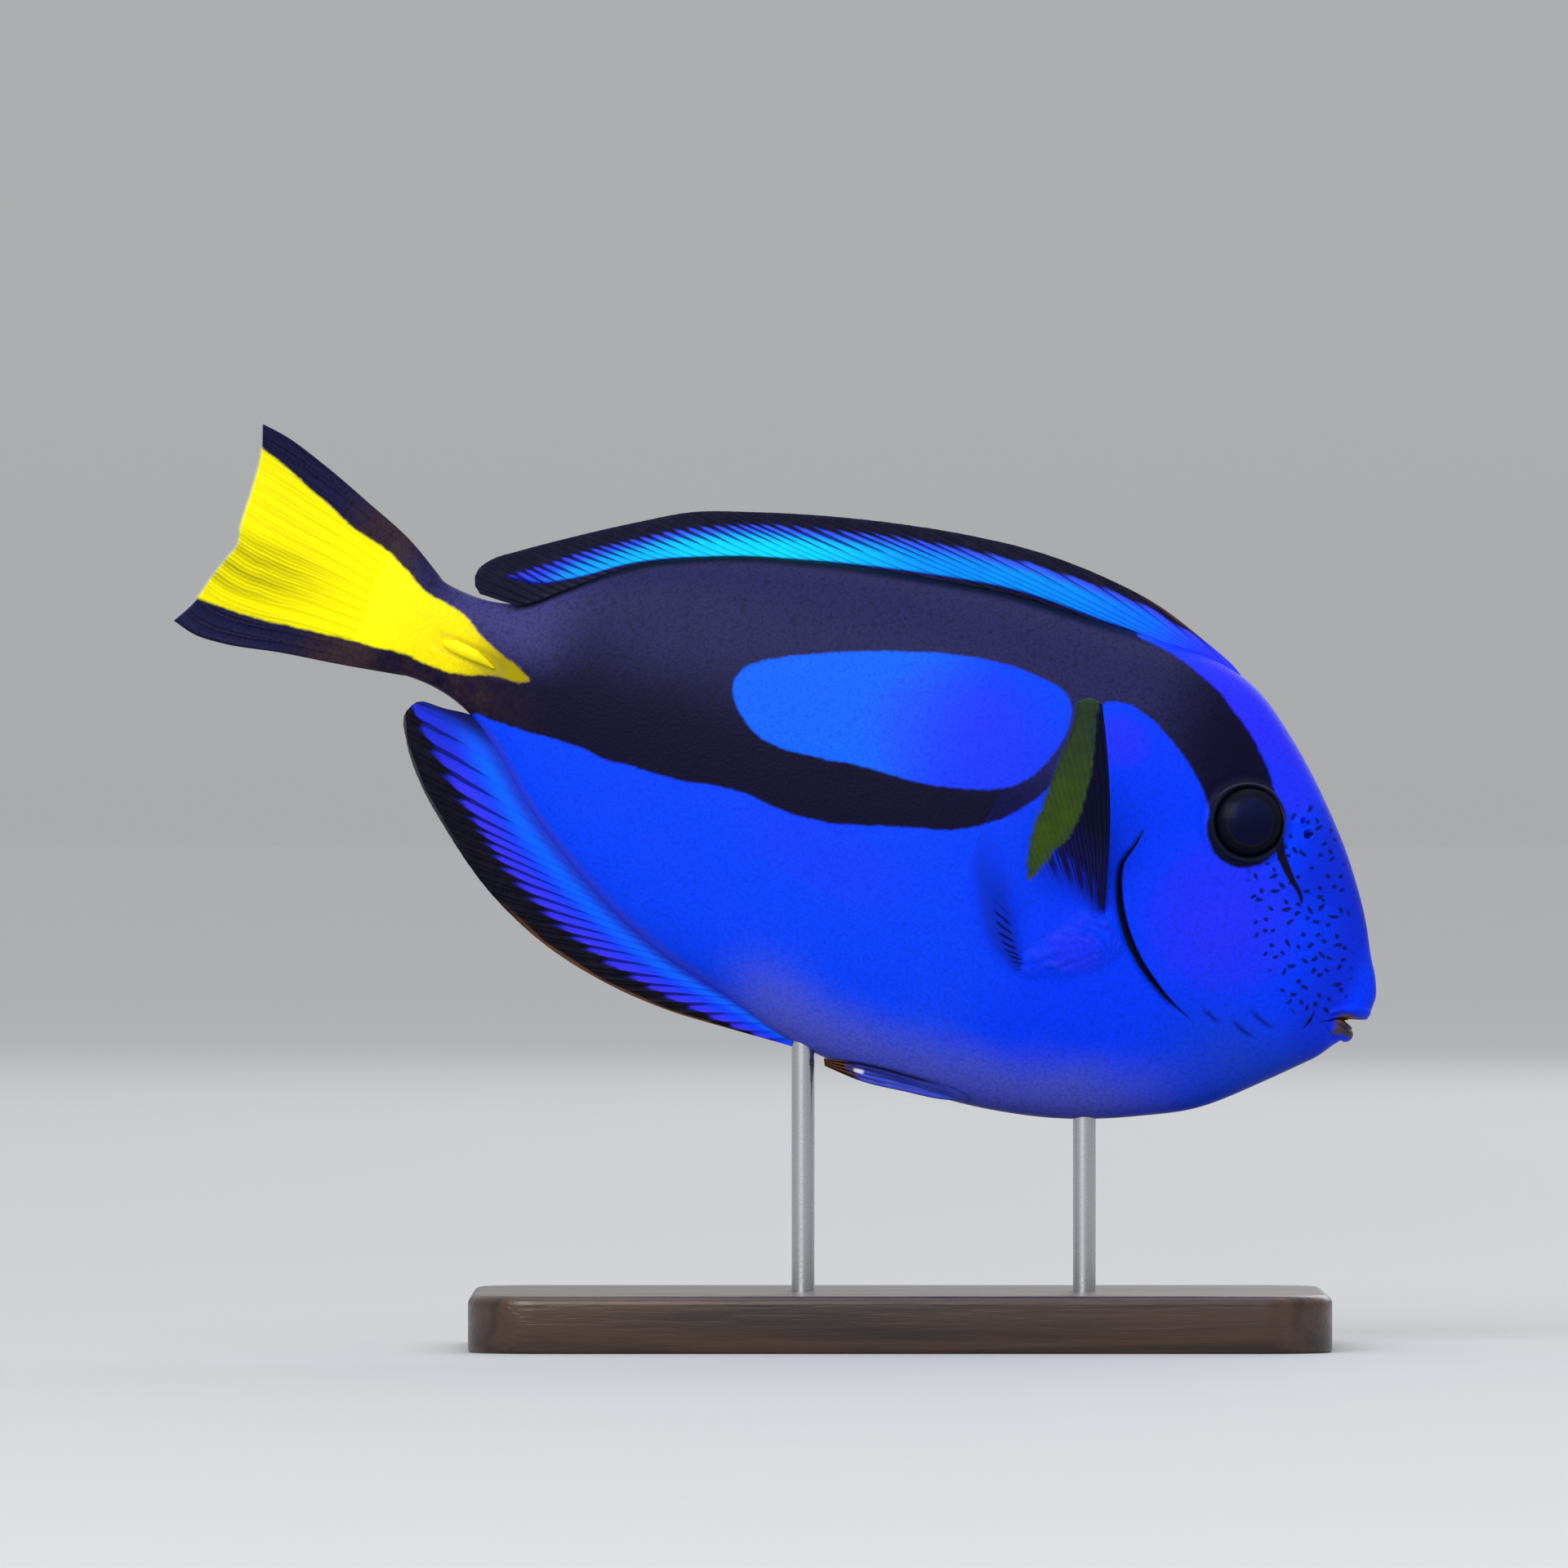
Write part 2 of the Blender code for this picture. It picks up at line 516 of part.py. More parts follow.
def make_pectoral_fins(trunk):
    """The paired fins behind the gills, raised and held out from the body."""
    root_line, margin_line = in_plane(PECTORAL_ROOT), in_plane(PECTORAL_MARGIN)
    lead, trail = PECTORAL_LEAN

    def root(place):
        point = root_line(place)
        point[1] = -side_of_body(-point[0], point[2])
        return point

    def margin(place):
        base, end = root(place), margin_line(place)
        seen = math.hypot(end[0] - base[0], end[2] - base[2])
        end[1] = base[1] - seen * math.tan(lead + (trail - lead) * place ** 1.3)
        return end

    def point(place, share):
        if share < 0:
            return root(place) + (0, -share, 0)
        middle = 4 * share * (1 - share)
        forward = PECTORAL_BOW_FORWARD * middle * max(0, 1 - 1.6 * place)
        bow = (forward * math.cos(PITCH), PECTORAL_BOW_OUT * middle, forward * math.sin(PITCH))
        return root(place) + (margin(place) - root(place)) * share + bow

    def spare_point(place, share):
        wider = place * (1 + 2 * PECTORAL_SOCKET_SPARE) - PECTORAL_SOCKET_SPARE
        return point(min(1, max(0, place)), share) + root_slope * (wider - place)

    root_slope = root(1) - root(0)
    normal = Vector(margin(0) - root(0)).cross(Vector(root_slope)).normalized()
    half = thinning(PECTORAL_ROOT_HALF)
    right = ridged_fin("pectoral_fin_right", PECTORAL_RAYS, point, half,
                       (-PECTORAL_SUNK, 0, 0.14, 0.3, 0.5, 0.75, 1), normal)
    socket = ridged_fin("socket", PECTORAL_RAYS, spare_point,
                        lambda place, share: half(place, share) + GAP,
                        (-PECTORAL_SOCKET_SUNK, 0, 0.14, 0.3, 0.5), normal)
    combine(trunk, mirrored(socket, "left_socket"))
    combine(trunk, socket)
    mirrored(right, "pectoral_fin_left")


def make_pelvic_fins():
    """The small fins folded back along the belly, each a gap away from its side."""
    upper, lower = in_plane(PELVIC_UPPER), in_plane(PELVIC_LOWER)

    def half(place, share):
        return (0.6 - 0.3 * share) * MM

    def point(place, share):
        at = upper(share) + (lower(share) - upper(share)) * place
        lowest_side = (BELLY_AT(-at[0] / MM) + 0.5) * MM
        at[1] = -side_of_body(-at[0], max(at[2], lowest_side)) - half(place, share) - PELVIC_CLEARANCE
        return at

    right = ridged_fin("pelvic_fin_right", PELVIC_RAYS, point, half, np.linspace(0, 1, 9),
                       PELVIC_NORMAL)
    mirrored(right, "pelvic_fin_left")


def make_tail_spines():
    """The folded blade on each side of the tail base, its point forward."""
    rings = []
    for station, height, half in TAIL_SPINE:
        ring = []
        for a in np.linspace(0, math.tau, 10, endpoint=False):
            z = (height + half * math.cos(a)) * MM
            lift = TAIL_SPINE_THICKNESS * max(0.08, math.sin(a)) * min(1, half)
            ring.append((-station * MM, -side_of_body(station * MM, z) - GAP - lift, z))
        rings.append(ring)
    right = loft("tail_spine_right", rings)
    mirrored(right, "tail_spine_left")


def belly_under(distance, to_world):
    """World height of the belly at a distance behind the snout, measured level."""
    samples = [to_world @ Vector((-s * MM, 0, BELLY_AT(s) * MM)) for s in np.linspace(10, 160, 300)]
    xs = [-p.x for p in samples]
    return float(np.interp(distance - SNOUT_X, xs, [p.z for p in samples]))


def cylinder(name, radius, bottom, top, x):
    """An upright round bar."""
    bpy.ops.mesh.primitive_cylinder_add(vertices=24, radius=radius, depth=top - bottom)
    made = bpy.context.object
    made.name = made.data.name = name
    made.data.transform(Matrix.Translation((x, 0, (top + bottom) / 2)))
    return made


def make_stand(trunk, to_world):
    """A flat base and two rods that reach up into the belly."""
    corners = []
    for cx, cy, start in ((1, 1, 0), (-1, 1, 90), (-1, -1, 180), (1, -1, 270)):
        for a in np.radians(np.linspace(start, start + 90, 7)):
            corners.append((BASE_X + cx * (BASE_LENGTH / 2 - BASE_CORNER) + BASE_CORNER * math.cos(a),
                            cy * (BASE_WIDTH / 2 - BASE_CORNER) + BASE_CORNER * math.sin(a)))
    middle = np.array((BASE_X, 0))
    inner = [tuple(middle + (np.array(p) - middle) * (1 - 2 * BASE_BEVEL / BASE_WIDTH)) for p in corners]
    levels = ((corners, 0), (corners, BASE_THICKNESS - BASE_BEVEL), (inner, BASE_THICKNESS))
    base = loft("stand_base", [[(x, y, z) for x, y in outline] for outline, z in levels])
    for place, distance in ROD_BEHIND_SNOUT.items():
        x = SNOUT_X - distance
        foot = BASE_THICKNESS - ROD_DEPTH_IN_BASE
        head = belly_under(distance, to_world) + ROD_DEPTH_IN_BODY
        combine(base, cylinder("hole", ROD_RADIUS + GAP, foot - GAP, BASE_THICKNESS + MM, x))
        hole = cylinder("hole", ROD_RADIUS + GAP, BASE_THICKNESS, head + GAP, x)
        hole.data.transform(to_world.inverted())
        combine(trunk, hole)
        cylinder(f"stand_rod_{place}", ROD_RADIUS, foot, head, x)


FINISHES = {
    "blue_skin": ((0.012, 0.06, 0.93, 1), 0.42, 0.0,
                  ("head", "trunk", "gill_cover_right", "gill_cover_left")),
    "lip_skin": ((0.05, 0.06, 0.25, 1), 0.45, 0.0, ("lower_jaw",)),
    "dark_skin": ((0.022, 0.022, 0.07, 1), 0.45, 0.0, ("tail_base",)),
    "blue_fin": ((0.01, 0.24, 0.88, 1), 0.4, 0.0, ("dorsal_fin", "anal_fin")),
    "yellow_fin": ((0.92, 0.83, 0.01, 1), 0.4, 0.0,
                   ("caudal_fin", "tail_spine_right", "tail_spine_left")),
    "clear_fin": ((0.2, 0.3, 0.12, 1), 0.4, 0.0, ("pectoral_fin_right", "pectoral_fin_left")),
    "pelvic_fin": ((0.04, 0.08, 0.5, 1), 0.4, 0.0, ("pelvic_fin_right", "pelvic_fin_left")),
    "eye": ((0.006, 0.007, 0.015, 1), 0.12, 0.0, ("eye_right", "eye_left")),
    "stand_wood": ((0.045, 0.03, 0.022, 1), 0.4, 0.0, ("stand_base",)),
    "stand_steel": ((0.6, 0.6, 0.6, 1), 0.25, 1.0, ("stand_rod_front", "stand_rod_rear")),
}


def paint():
    """Gives each piece its finish."""
    for finish, (colour, roughness, metallic, names) in FINISHES.items():
        for name in names:
            material = bpy.data.materials.new(f"{finish}_{name}")
            material.use_nodes = True
            shader = material.node_tree.nodes["Principled BSDF"]
            shader.inputs["Base Color"].default_value = colour
            shader.inputs["Roughness"].default_value = roughness
            shader.inputs["Metallic"].default_value = metallic
            made = bpy.data.objects[name]
            made.data.materials.clear()
            made.data.materials.append(material)
            made.data.shade_smooth()
            made.data.set_sharp_from_angle(angle=math.radians(40))


def main():
    for old in list(bpy.data.objects):
        bpy.data.objects.remove(old)
    head, trunk = make_body()
    make_eyes(head)
    make_nostrils(head)
    make_gill_covers(head)
    make_middle_fins()
    make_caudal_fin()
    make_pectoral_fins(trunk)
    make_pelvic_fins()
    make_tail_spines()
    fish_nodes = list(bpy.context.scene.objects)

    tilt = Matrix.Rotation(PITCH, 4, "Y")
    lowest = min((tilt @ Vector((-s * MM, 0, BELLY_AT(s) * MM))).z for s in np.linspace(0, 100, 200))
    snout_z = BASE_THICKNESS + BELLY_CLEARANCE - lowest
    to_world = Matrix.Translation((SNOUT_X, 0, snout_z)) @ tilt
    make_stand(trunk, to_world)

    fish = bpy.data.objects.new("fish", None)
    bpy.context.scene.collection.objects.link(fish)
    fish.matrix_world = to_world
    for node in fish_nodes:
        node.parent = fish
    paint()


main()
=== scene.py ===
"""Looks of a life-size regal blue tang, nose down as it swims, on a plain display stand.

The fish is drawn in its own frame, then tilted, as its solids are. There x runs forward from the
tail with the tip of the snout at 0, y runs to the fish's left and z runs up to its back. A station
is the distance behind the snout. Stations and heights are in millimetres.
"""

import math

import bmesh
import bpy
import numpy as np
from bpy.props import FloatProperty, FloatVectorProperty, IntProperty, PointerProperty
from mathutils import Matrix, Vector


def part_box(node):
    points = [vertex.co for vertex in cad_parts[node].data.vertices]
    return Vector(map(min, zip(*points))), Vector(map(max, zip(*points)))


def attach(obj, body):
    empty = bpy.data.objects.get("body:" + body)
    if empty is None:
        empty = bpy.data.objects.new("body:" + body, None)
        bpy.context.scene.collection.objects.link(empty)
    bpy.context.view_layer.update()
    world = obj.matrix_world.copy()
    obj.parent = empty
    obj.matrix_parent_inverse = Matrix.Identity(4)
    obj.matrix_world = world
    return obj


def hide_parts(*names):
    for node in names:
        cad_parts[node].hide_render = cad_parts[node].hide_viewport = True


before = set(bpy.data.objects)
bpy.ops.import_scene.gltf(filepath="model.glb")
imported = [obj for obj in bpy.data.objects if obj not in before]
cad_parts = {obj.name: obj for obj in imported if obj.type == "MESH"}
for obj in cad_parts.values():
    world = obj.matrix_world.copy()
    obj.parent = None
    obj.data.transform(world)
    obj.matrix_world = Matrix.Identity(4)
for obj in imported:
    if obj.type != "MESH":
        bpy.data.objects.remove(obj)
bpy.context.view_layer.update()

bl_info = {
    "name": "Regal blue tang",
    "version": (1, 0, 0),
    "blender": (4, 5, 0),
    "location": "3D View > Sidebar > Blue tang",
    "description": "Builds the looks of a life-size regal blue tang on its display stand",
    "category": "Object",
}

MM = 0.001
FLESH = ("head", "lower_jaw", "gill_cover_left", "gill_cover_right", "trunk", "tail_base")
SIDES = ((1, "left"), (-1, "right"))
# Shine that the skin and the fins share
SATIN = {"specular_ior_level": 0.06}

# Stand and stage: the base's corner and the sensor in millimetres, the floor in metres
STAND_CORNER = 12
SHARP_ANGLE = math.radians(50)
FLOOR_RADIUS = 30
SENSOR_WIDTH = 36

# Pose
PITCH = math.radians(22)
SNOUT_X = 105.4
BELLY_CLEARANCE = 30
BASE_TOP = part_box("stand_base")[1].z / MM

# Body: back and belly lines without fins, half width, and the level where it is widest
BACK = ((0, 0.4), (1, 2.3), (3, 5.3), (6, 10.4), (12, 18.5), (21, 27.9), (30, 35.5), (39, 41.3),
        (46, 43.3), (58, 43), (70, 42), (85, 40.8), (100, 37.9), (120, 33), (135, 27.8),
        (150, 19.4), (158, 12.2), (163, 7.6), (168, 5.7), (174, 5.2), (178, 5.6), (182, 7.4),
        (186, 9.6), (190, 11.2))
BELLY = ((0, -8.9), (1, -10), (3, -11.9), (7, -16.1), (12, -21.4), (21, -30.1), (30, -35.4),
         (42, -40.8), (55, -44.3), (70, -46.2), (85, -46.7), (94, -45.9), (105, -43.4), (120, -40.2),
         (130, -36.5), (140, -31.5), (150, -25.2), (158, -18.8), (164, -14.8), (169, -12.9),
         (175, -12.1), (178, -12.2), (182, -12.8), (186, -13.6), (190, -14.4))
HALF_WIDTH = ((0, 2.3), (1, 3.2), (3, 4.4), (7, 6.1), (14, 8.5), (24, 11.3), (36, 13.9),
              (48, 15.6), (62, 16.3), (80, 15.8), (100, 13.9), (120, 11.3), (140, 8.2),
              (155, 5.9), (165, 4.6), (172, 3.8), (178, 2.6), (182, 1.9), (186, 1.05), (190, 0.3))
WIDEST_LEVEL = ((0, -4.4), (6, -3), (20, 2), (40, 6), (60, 6), (90, 3), (120, 0.5), (150, -2),
                (165, -3.4), (178, -3.3), (190, -2))
FULLNESS_ABOVE = ((0, 0.85), (30, 0.95), (90, 1.1), (178, 1))
FULLNESS_BELOW = ((0, 0.85), (30, 1), (90, 1.2), (178, 1))
RIDGE_HALF_WIDTH = ((0, 0.9), (176, 0.9), (190, 0.15))
SNOUT_ROUNDING = 1.3
SKIN_END = 190.0
SKIN_STATIONS = ((0, 1.4, 8), (1.4, 62, 112), (62, 176, 88), (176, SKIN_END, 13))
SKIN_POINTS_DOWN_A_SIDE = 104

# Mouth
LIP_ROUTE = ((6.4, 5.9), (4.2, 5.05), (2.3, 3.9), (1, 2.2), (0.75, 0))
UPPER_LIP = (-3.9, 1.05, 1, -0.25)
LOWER_LIP = (-8.8, 1.35, 0.9, 1.45)
LIP_CORNER_HEIGHT = -6.3
MOUTH_LINE = ((-1, -6.2), (1, -6.2), (2.5, -6.25), (4, -6.6), (5.5, -7.4), (7.2, -8.6))
MOUTH_HALF_OPEN = ((0, 1.1), (1, 1), (2.5, 0.7), (4, 0.36), (7, 0.12))
MOUTH_DEPTH = ((0, 0.5), (2, 0.4), (4, 0.2), (7, 0.05))
MOUTH_INSIDE = (-5.5, 0, -6.6)

# Eyes and nostrils
EYE_STATION, EYE_HEIGHT = 32, 19.2
EYE_RADIUS, EYE_HALF_DEPTH, EYE_SUNK = 6.7, 4.2, 2.1
EYE_RING_RADIUS = 6.75
NOSTRILS = ((23.2, 23, 0.5), (21.5, 21.1, 0.7))

# Gill slit, from its upper end down and forward to the throat, and its half width on the way
GILL_SLIT = ((48.6, 10.8), (48.9, 8.4), (49.8, 4), (48.6, 0), (45.6, -5.2), (42, -9.2),
             (37.5, -12.5), (33, -14.9), (28, -16.7))
GILL_SLIT_HALF = ((0, 0.12), (0.18, 0.3), (0.32, 0.5), (0.55, 0.62), (0.75, 0.48), (1, 0.05))
CHEEK_CREASES = (((27.5, -13.8), (26.3, -14.4), (23.6, -15.1)),
                 ((21.8, -13.9), (20.3, -14.6), (16.9, -15.4)),
                 ((19.6, -11), (17.5, -11.9), (14.1, -12.7)))
MOUTH_CORNER = ((8.8, -7.2), (9, -8.8), (9.5, -10.6))

# The muscular pad that carries each pectoral fin, and its ridges for each radian of the fan
PAD = ((49, -4), (45.6, -6.5), (43.9, -9.5), (45.6, -12.6), (50, -16.4), (54, -18.6), (58.4, -20.2),
       (61, -19.6), (59.4, -15), (56, -10), (52.6, -5))
PAD_FAN_MIDDLE = (43, -7)
PAD_RIDGES = 44

# Markings
BLACK_OUTER = (((29.3, 25), (30.5, 27), (33, 29.6), (36, 32.5), (40, 35.2), (45, 38.3),
                (49, 39.9), (54, 41.2), (62, 42.2)),
               ((66, 52), (120, 46), (150, 34), (160, 22), (200, 30), (230, 24), (230, -24),
                (180, -24), (166.5, -16.5)),
               ((164.2, -13.7), (160, -13.6), (155, -13.3), (150, -12.8), (146, -12.4),
                (140, -12.7), (135, -12), (130, -11.6), (125, -10.9), (120, -9.6), (115, -9.1),
                (110, -9.4), (105, -9.1), (100, -8.4), (95, -6.8), (90, -5), (85, -3.3),
                (80, -1.7), (76, 0.6), (72, 3.8), (69.5, 6.8), (67.6, 9.6), (66, 13), (64.8, 18),
                (64, 23), (63.6, 27), (63, 29.2), (60, 30.3), (56, 30), (52, 28.4), (48, 26.4),
                (44, 23.6), (40.5, 20.4), (38.6, 17.2)))
BLUE_OVAL = ((124.6, 8.5), (123.8, 11), (121.5, 13.3), (118, 15.5), (110, 19.6), (105, 21.8),
             (100, 23.9), (95, 25.7), (90, 27.2), (85, 28.3), (80, 29), (75, 29), (71, 28.5),
             (68.6, 27), (67.5, 24), (67.4, 20.5), (68.4, 16.5), (70, 12.5), (72, 10), (75, 8),
             (80, 6.1), (85, 4.7), (90, 3.8), (95, 3.3), (100, 2.7), (104, 1.8), (108, 1.2),
             (112, 0.7), (116, 0.8), (120, 2.7), (123.4, 5.5))
YELLOW = (((222, 18), (216.5, 15.4), (210, 13.4), (205, 11.5), (200, 9.8), (196, 8.2), (192, 7.5),
           (189, 6.8), (185, 5), (182, 3.5), (180, 2.7), (175, 2), (172, 1.3), (170, 0.1),
           (167, -1.3), (163, -2.7), (160, -3.5), (157.6, -4.7)),
          ((158.6, -5.7), (160.5, -6.2), (163, -6.4), (166, -7.2), (170, -8.6), (175, -8.9),
           (180, -8.8), (185, -9.5), (190, -10.1), (195, -10.9), (200, -11.7), (205, -12.5),
           (210, -13), (216, -13.2), (222, -13.4)))
TEAR_STREAK = ((26, 18), (23.6, 15), (21.3, 12.8), (19, 11), (18.2, 9.8))
FRECKLED = ((29, 13), (28.4, 9), (26.5, 6), (24.5, 2.5), (22.5, -1), (19, -3.5), (15, -7),
            (11.5, -9), (8, -9.5), (5.5, -6.5), (4.6, -1), (6, 3.5), (8.6, 9.5), (11.6, 15.5),
            (15.6, 21.5), (20, 26), (24.4, 26), (25.6, 20), (24.8, 16))

# Violet spots: station, height, half length, half height and strength
VIOLET_SPOTS = ((30, 2, 18, 18, 0.7), (83, 14, 23, 17, 0.58), (58, 24, 7, 6, 0.7),
                (52, -13, 7, 5, 0.55), (28, 27, 8, 7, 0.7), (98, -14, 20, 9, 0.4))

# Fins: rays run from the root line to the margin
# (share of the rays counted from the front, station of the root) and
# (station of the root, share of the way along the margin)
DORSAL_RAY_ROOTS = ((0, 41), (0.034, 42.8), (0.084, 46.2), (0.141, 52.3), (0.205, 62.7),
                    (0.275, 81.1), (0.348, 102.2), (0.466, 120.2), (0.591, 136), (0.722, 146.9),
                    (0.858, 156.2), (1, 163.6))
DORSAL_SWEEP = ((41, 0.01), (43, 0.14), (46.5, 0.271), (50, 0.358), (55, 0.429), (62, 0.479),
                (70, 0.514), (80, 0.549), (100, 0.614), (120, 0.702), (135, 0.777), (143, 0.83),
                (150, 0.88), (155, 0.92), (160, 0.957), (163.6, 1))
DORSAL_MARGIN = ((41.5, 41.8), (44, 43.4), (47, 44.6), (50.5, 45.7), (60, 48.4), (72, 49.6), (84, 49.3),
                 (96, 47.5), (108, 44.8), (120, 41.4), (132, 37.3), (143, 32.8), (150, 28.3),
                 (162, 19.9), (168, 15.4), (171.8, 12.3), (173.4, 9.7), (173.1, 7.3), (171.4, 5.9))
# Share of a fin's height where its stripe ends and starts
DORSAL_BLUE_ENDS = ((41, 1.4), (49, 1.15), (54, 0.88), (64, 0.82), (72, 0.77), (84, 0.72),
                    (112, 0.7), (118, 0.68), (130, 0.71), (136, 0.68), (148, 0.61), (160, 0.63),
                    (168, 0.5), (172, 0.3))
DORSAL_BLUE_STARTS = ((41, -1), (60, -0.05), (70, 0.03), (150, 0.05), (155, 0.1), (160, 0.22),
                      (166, 0.42), (171, 0.6))
ANAL_RAY_ROOTS = ((0, 89), (0.077, 93.9), (0.154, 99.6), (0.231, 104.4), (0.308, 108.2),
                  (0.385, 114.4), (0.462, 119.2), (0.577, 125.8), (0.692, 132.6), (0.808, 141),
                  (0.923, 155), (1, 164))
ANAL_SWEEP = ((89, 0.005), (91.5, 0.058), (95, 0.125), (99.5, 0.206), (104, 0.301), (109, 0.416),
              (116.5, 0.514), (129, 0.7), (136, 0.775), (144, 0.858), (151, 0.905), (158, 0.945),
              (164, 1))
ANAL_MARGIN = ((89.5, -46.9), (93, -47.2), (97.5, -47.7), (103, -48.3), (114, -49.3),
               (126, -48.9), (138, -46.7), (150, -42), (162, -34.2), (168, -29.4), (173.6, -23),
               (175.8, -18.4), (174.6, -15.7), (170, -15))
ANAL_BLUE_ENDS = ((89, 1.3), (97, 0.95), (104, 0.84), (110, 0.76), (120, 0.71), (135, 0.69),
                  (150, 0.67), (162, 0.65), (170, 0.6), (176, 0.56))
CAUDAL_ROOT_STATION = 178.3
CAUDAL_UPPER = ((178.3, 5.7), (185, 9.8), (195, 13.5), (205, 16.8), (213, 18.8), (218.2, 19.3))
CAUDAL_LOWER = ((178.3, -12.3), (190, -14.8), (200, -16.7), (210, -19), (215, -19.4),
                (219.8, -18.4))
CAUDAL_TRAILING = ((218.2, 19.3), (216.6, 15), (215.6, 8), (215, 1), (214.3, -2.6), (215.1, -5),
                   (216.3, -9), (217.7, -14.6), (219.8, -18.4))
CAUDAL_WAVE = 1.1
PECTORAL_ROOT = ((49.6, -5), (52, -9), (55.4, -14.2), (58.6, -19))
PECTORAL_MARGIN = ((63.8, 28.4), (66, 28.6), (68.2, 26.8), (70.8, 21.6), (73, 14), (74.6, 5),
                   (74.8, -2), (73.4, -10), (70, -17), (62, -20.8))
PECTORAL_BOW_FORWARD, PECTORAL_BOW_OUT = 1.2, 0.55
PECTORAL_LEAN = (math.radians(36.6), math.radians(22))
PECTORAL_SUNK = 2.2
PECTORAL_YELLOW = ((68.4, 30), (67.8, 26.9), (67.2, 23.5), (66.9, 15), (66.7, 8.4), (66.5, 3.2),
                   (65.4, -1.5), (63.8, -4.6), (63.3, -3.4), (61.9, 1.4), (60.5, 5.7), (60.5, 11.9),
                   (61.9, 19), (63.9, 25.5), (64.8, 29))
# Rear edge of the black leading rays, as heights and stations
PECTORAL_BLACK_ENDS = ((-20, 56.5), (-10, 60.5), (-4, 63.6), (0, 62.8), (6, 61.2), (12, 61.2),
                       (20, 62.8), (28, 65), (32, 66))
PELVIC_UPPER = ((59.2, -43.7), (63, -43.4), (70, -44), (78, -45), (85.2, -46.9))
PELVIC_LOWER = ((59.4, -44.3), (63, -45.6), (70, -46.9), (78, -48.1), (84.6, -48))
PELVIC_CLEARANCE = 0.45
TAIL_SPINE = ((174.2, -4.4, 0.5), (172, -4.2, 1.15), (168, -4.4, 1.05), (165.8, -4.8, 0.55),
              (164.2, -5.2, 0.12))
TAIL_SPINE_THICKNESS = 1.1


def srgb(*levels):
    """A colour from its red, green and blue levels out of 255."""
    shares = [level / 255 for level in levels]
    return tuple(s / 12.92 if s <= 0.04045 else ((s + 0.055) / 1.055) ** 2.4 for s in shares)


def toned(shade, factor):
    """A colour made darker or lighter by a factor."""
    return tuple(part * factor for part in shade)


def colour(name, description, *levels):
    """A colour that a user can change."""
    return FloatVectorProperty(name=name, description=description, subtype="COLOR", size=3,
                               min=0, max=1, default=srgb(*levels))


def length(name, description, default, least=0.0):
    """A length in millimetres that a user can change."""
    return FloatProperty(name=name, description=description, subtype="DISTANCE", unit="LENGTH",
                         default=default * MM, min=least * MM)


def count(name, description, default):
    """A number of rays that a user can change."""
    return IntProperty(name=name, description=description, default=default, min=4)


class SkinSettings(bpy.types.PropertyGroup):
    """Colours and scales of the fish's skin."""

    blue: colour("Blue", "Blue of the flank", 4, 66, 250)
    front: colour("Front blue", "Deeper blue between the gills and the oval", 1, 57, 254)
    oval: colour("Oval blue", "Lighter blue at the back of the oval", 14, 98, 251)
    violet: colour("Violet", "Violet sheen of the cheek, the nape and the oval", 42, 42, 249)
    # Partly painted light: the belly's own greyer blue, set lighter to offset the shade under the body
    belly: colour("Belly", "Greyer blue along the belly", 78, 88, 203)
    snout: colour("Snout", "Deeper blue of the snout", 10, 40, 208)
    black: colour("Black", "The band along the flank", 11, 9, 42)
    black_top: colour("Black, upper", "The band below the dorsal fin", 38, 38, 84)
    yellow: colour("Yellow", "The wedge on the tail", 248, 238, 0)
    lip: colour("Lips", "Lips round the mouth", 50, 42, 66)
    lip_edge: colour("Lip edge", "Brown rim of the lips", 120, 74, 44)
    freckle: colour("Freckles", "Dark dashes on the face", 3, 20, 84)
    scale_size: length("Scale size", "Width of one of the fine scales", 0.6, 0.2)
    scale_depth: length("Scale depth", "Height of the scales' relief", 0.035)
    edge_blur: length("Marking edge", "Width of the edge of a marking", 0.35, 0.01)
    roughness: FloatProperty(name="Roughness", description="Roughness of the wet skin",
                             default=0.45, min=0, max=1)


class FinSettings(bpy.types.PropertyGroup):
    """Rays and colours of the fins."""

    dorsal_rays: count("Dorsal rays", "Lines of the dorsal rays and forks", 46)
    anal_rays: count("Anal rays", "Lines of the anal rays and forks", 27)
    caudal_rays: count("Tail rays", "Rays of the tail fin", 16)
    pectoral_rays: count("Pectoral rays", "Rays of each pectoral fin", 15)
    ray_relief: length("Ray relief", "How far a ray stands out of its fin", 0.22)
    cyan: colour("Dorsal cyan", "Bright stripe along the dorsal fin", 8, 218, 250)
    blue: colour("Anal blue", "Stripe along the anal fin", 6, 98, 252)
    margin: colour("Margin", "Dark outer margins", 20, 19, 42)
    olive: colour("Pectoral yellow", "Yellow patch of the pectoral fin", 64, 88, 28)
    pelvic_tip: colour("Pelvic tips", "Brown tips of the pelvic fins", 104, 62, 28)


class EyeSettings(bpy.types.PropertyGroup):
    """The eyes."""

    iris: colour("Iris", "Dark iris", 5, 6, 18)
    pupil: colour("Pupil", "Blue-black pupil", 5, 9, 44)
    pupil_radius: length("Pupil radius", "Radius of the pupil", 3.9, 1)


class StandSettings(bpy.types.PropertyGroup):
    """The display stand."""

    wood: colour("Wood", "Dark stained hardwood", 74, 48, 34)
    grain: colour("Grain", "Darker lines of the grain", 34, 21, 15)
    edge_radius: length("Edge radius", "Rounding of the base's upper edge", 1.6, 0.1)
    steel: colour("Steel", "Brushed steel of the rods", 196, 198, 202)


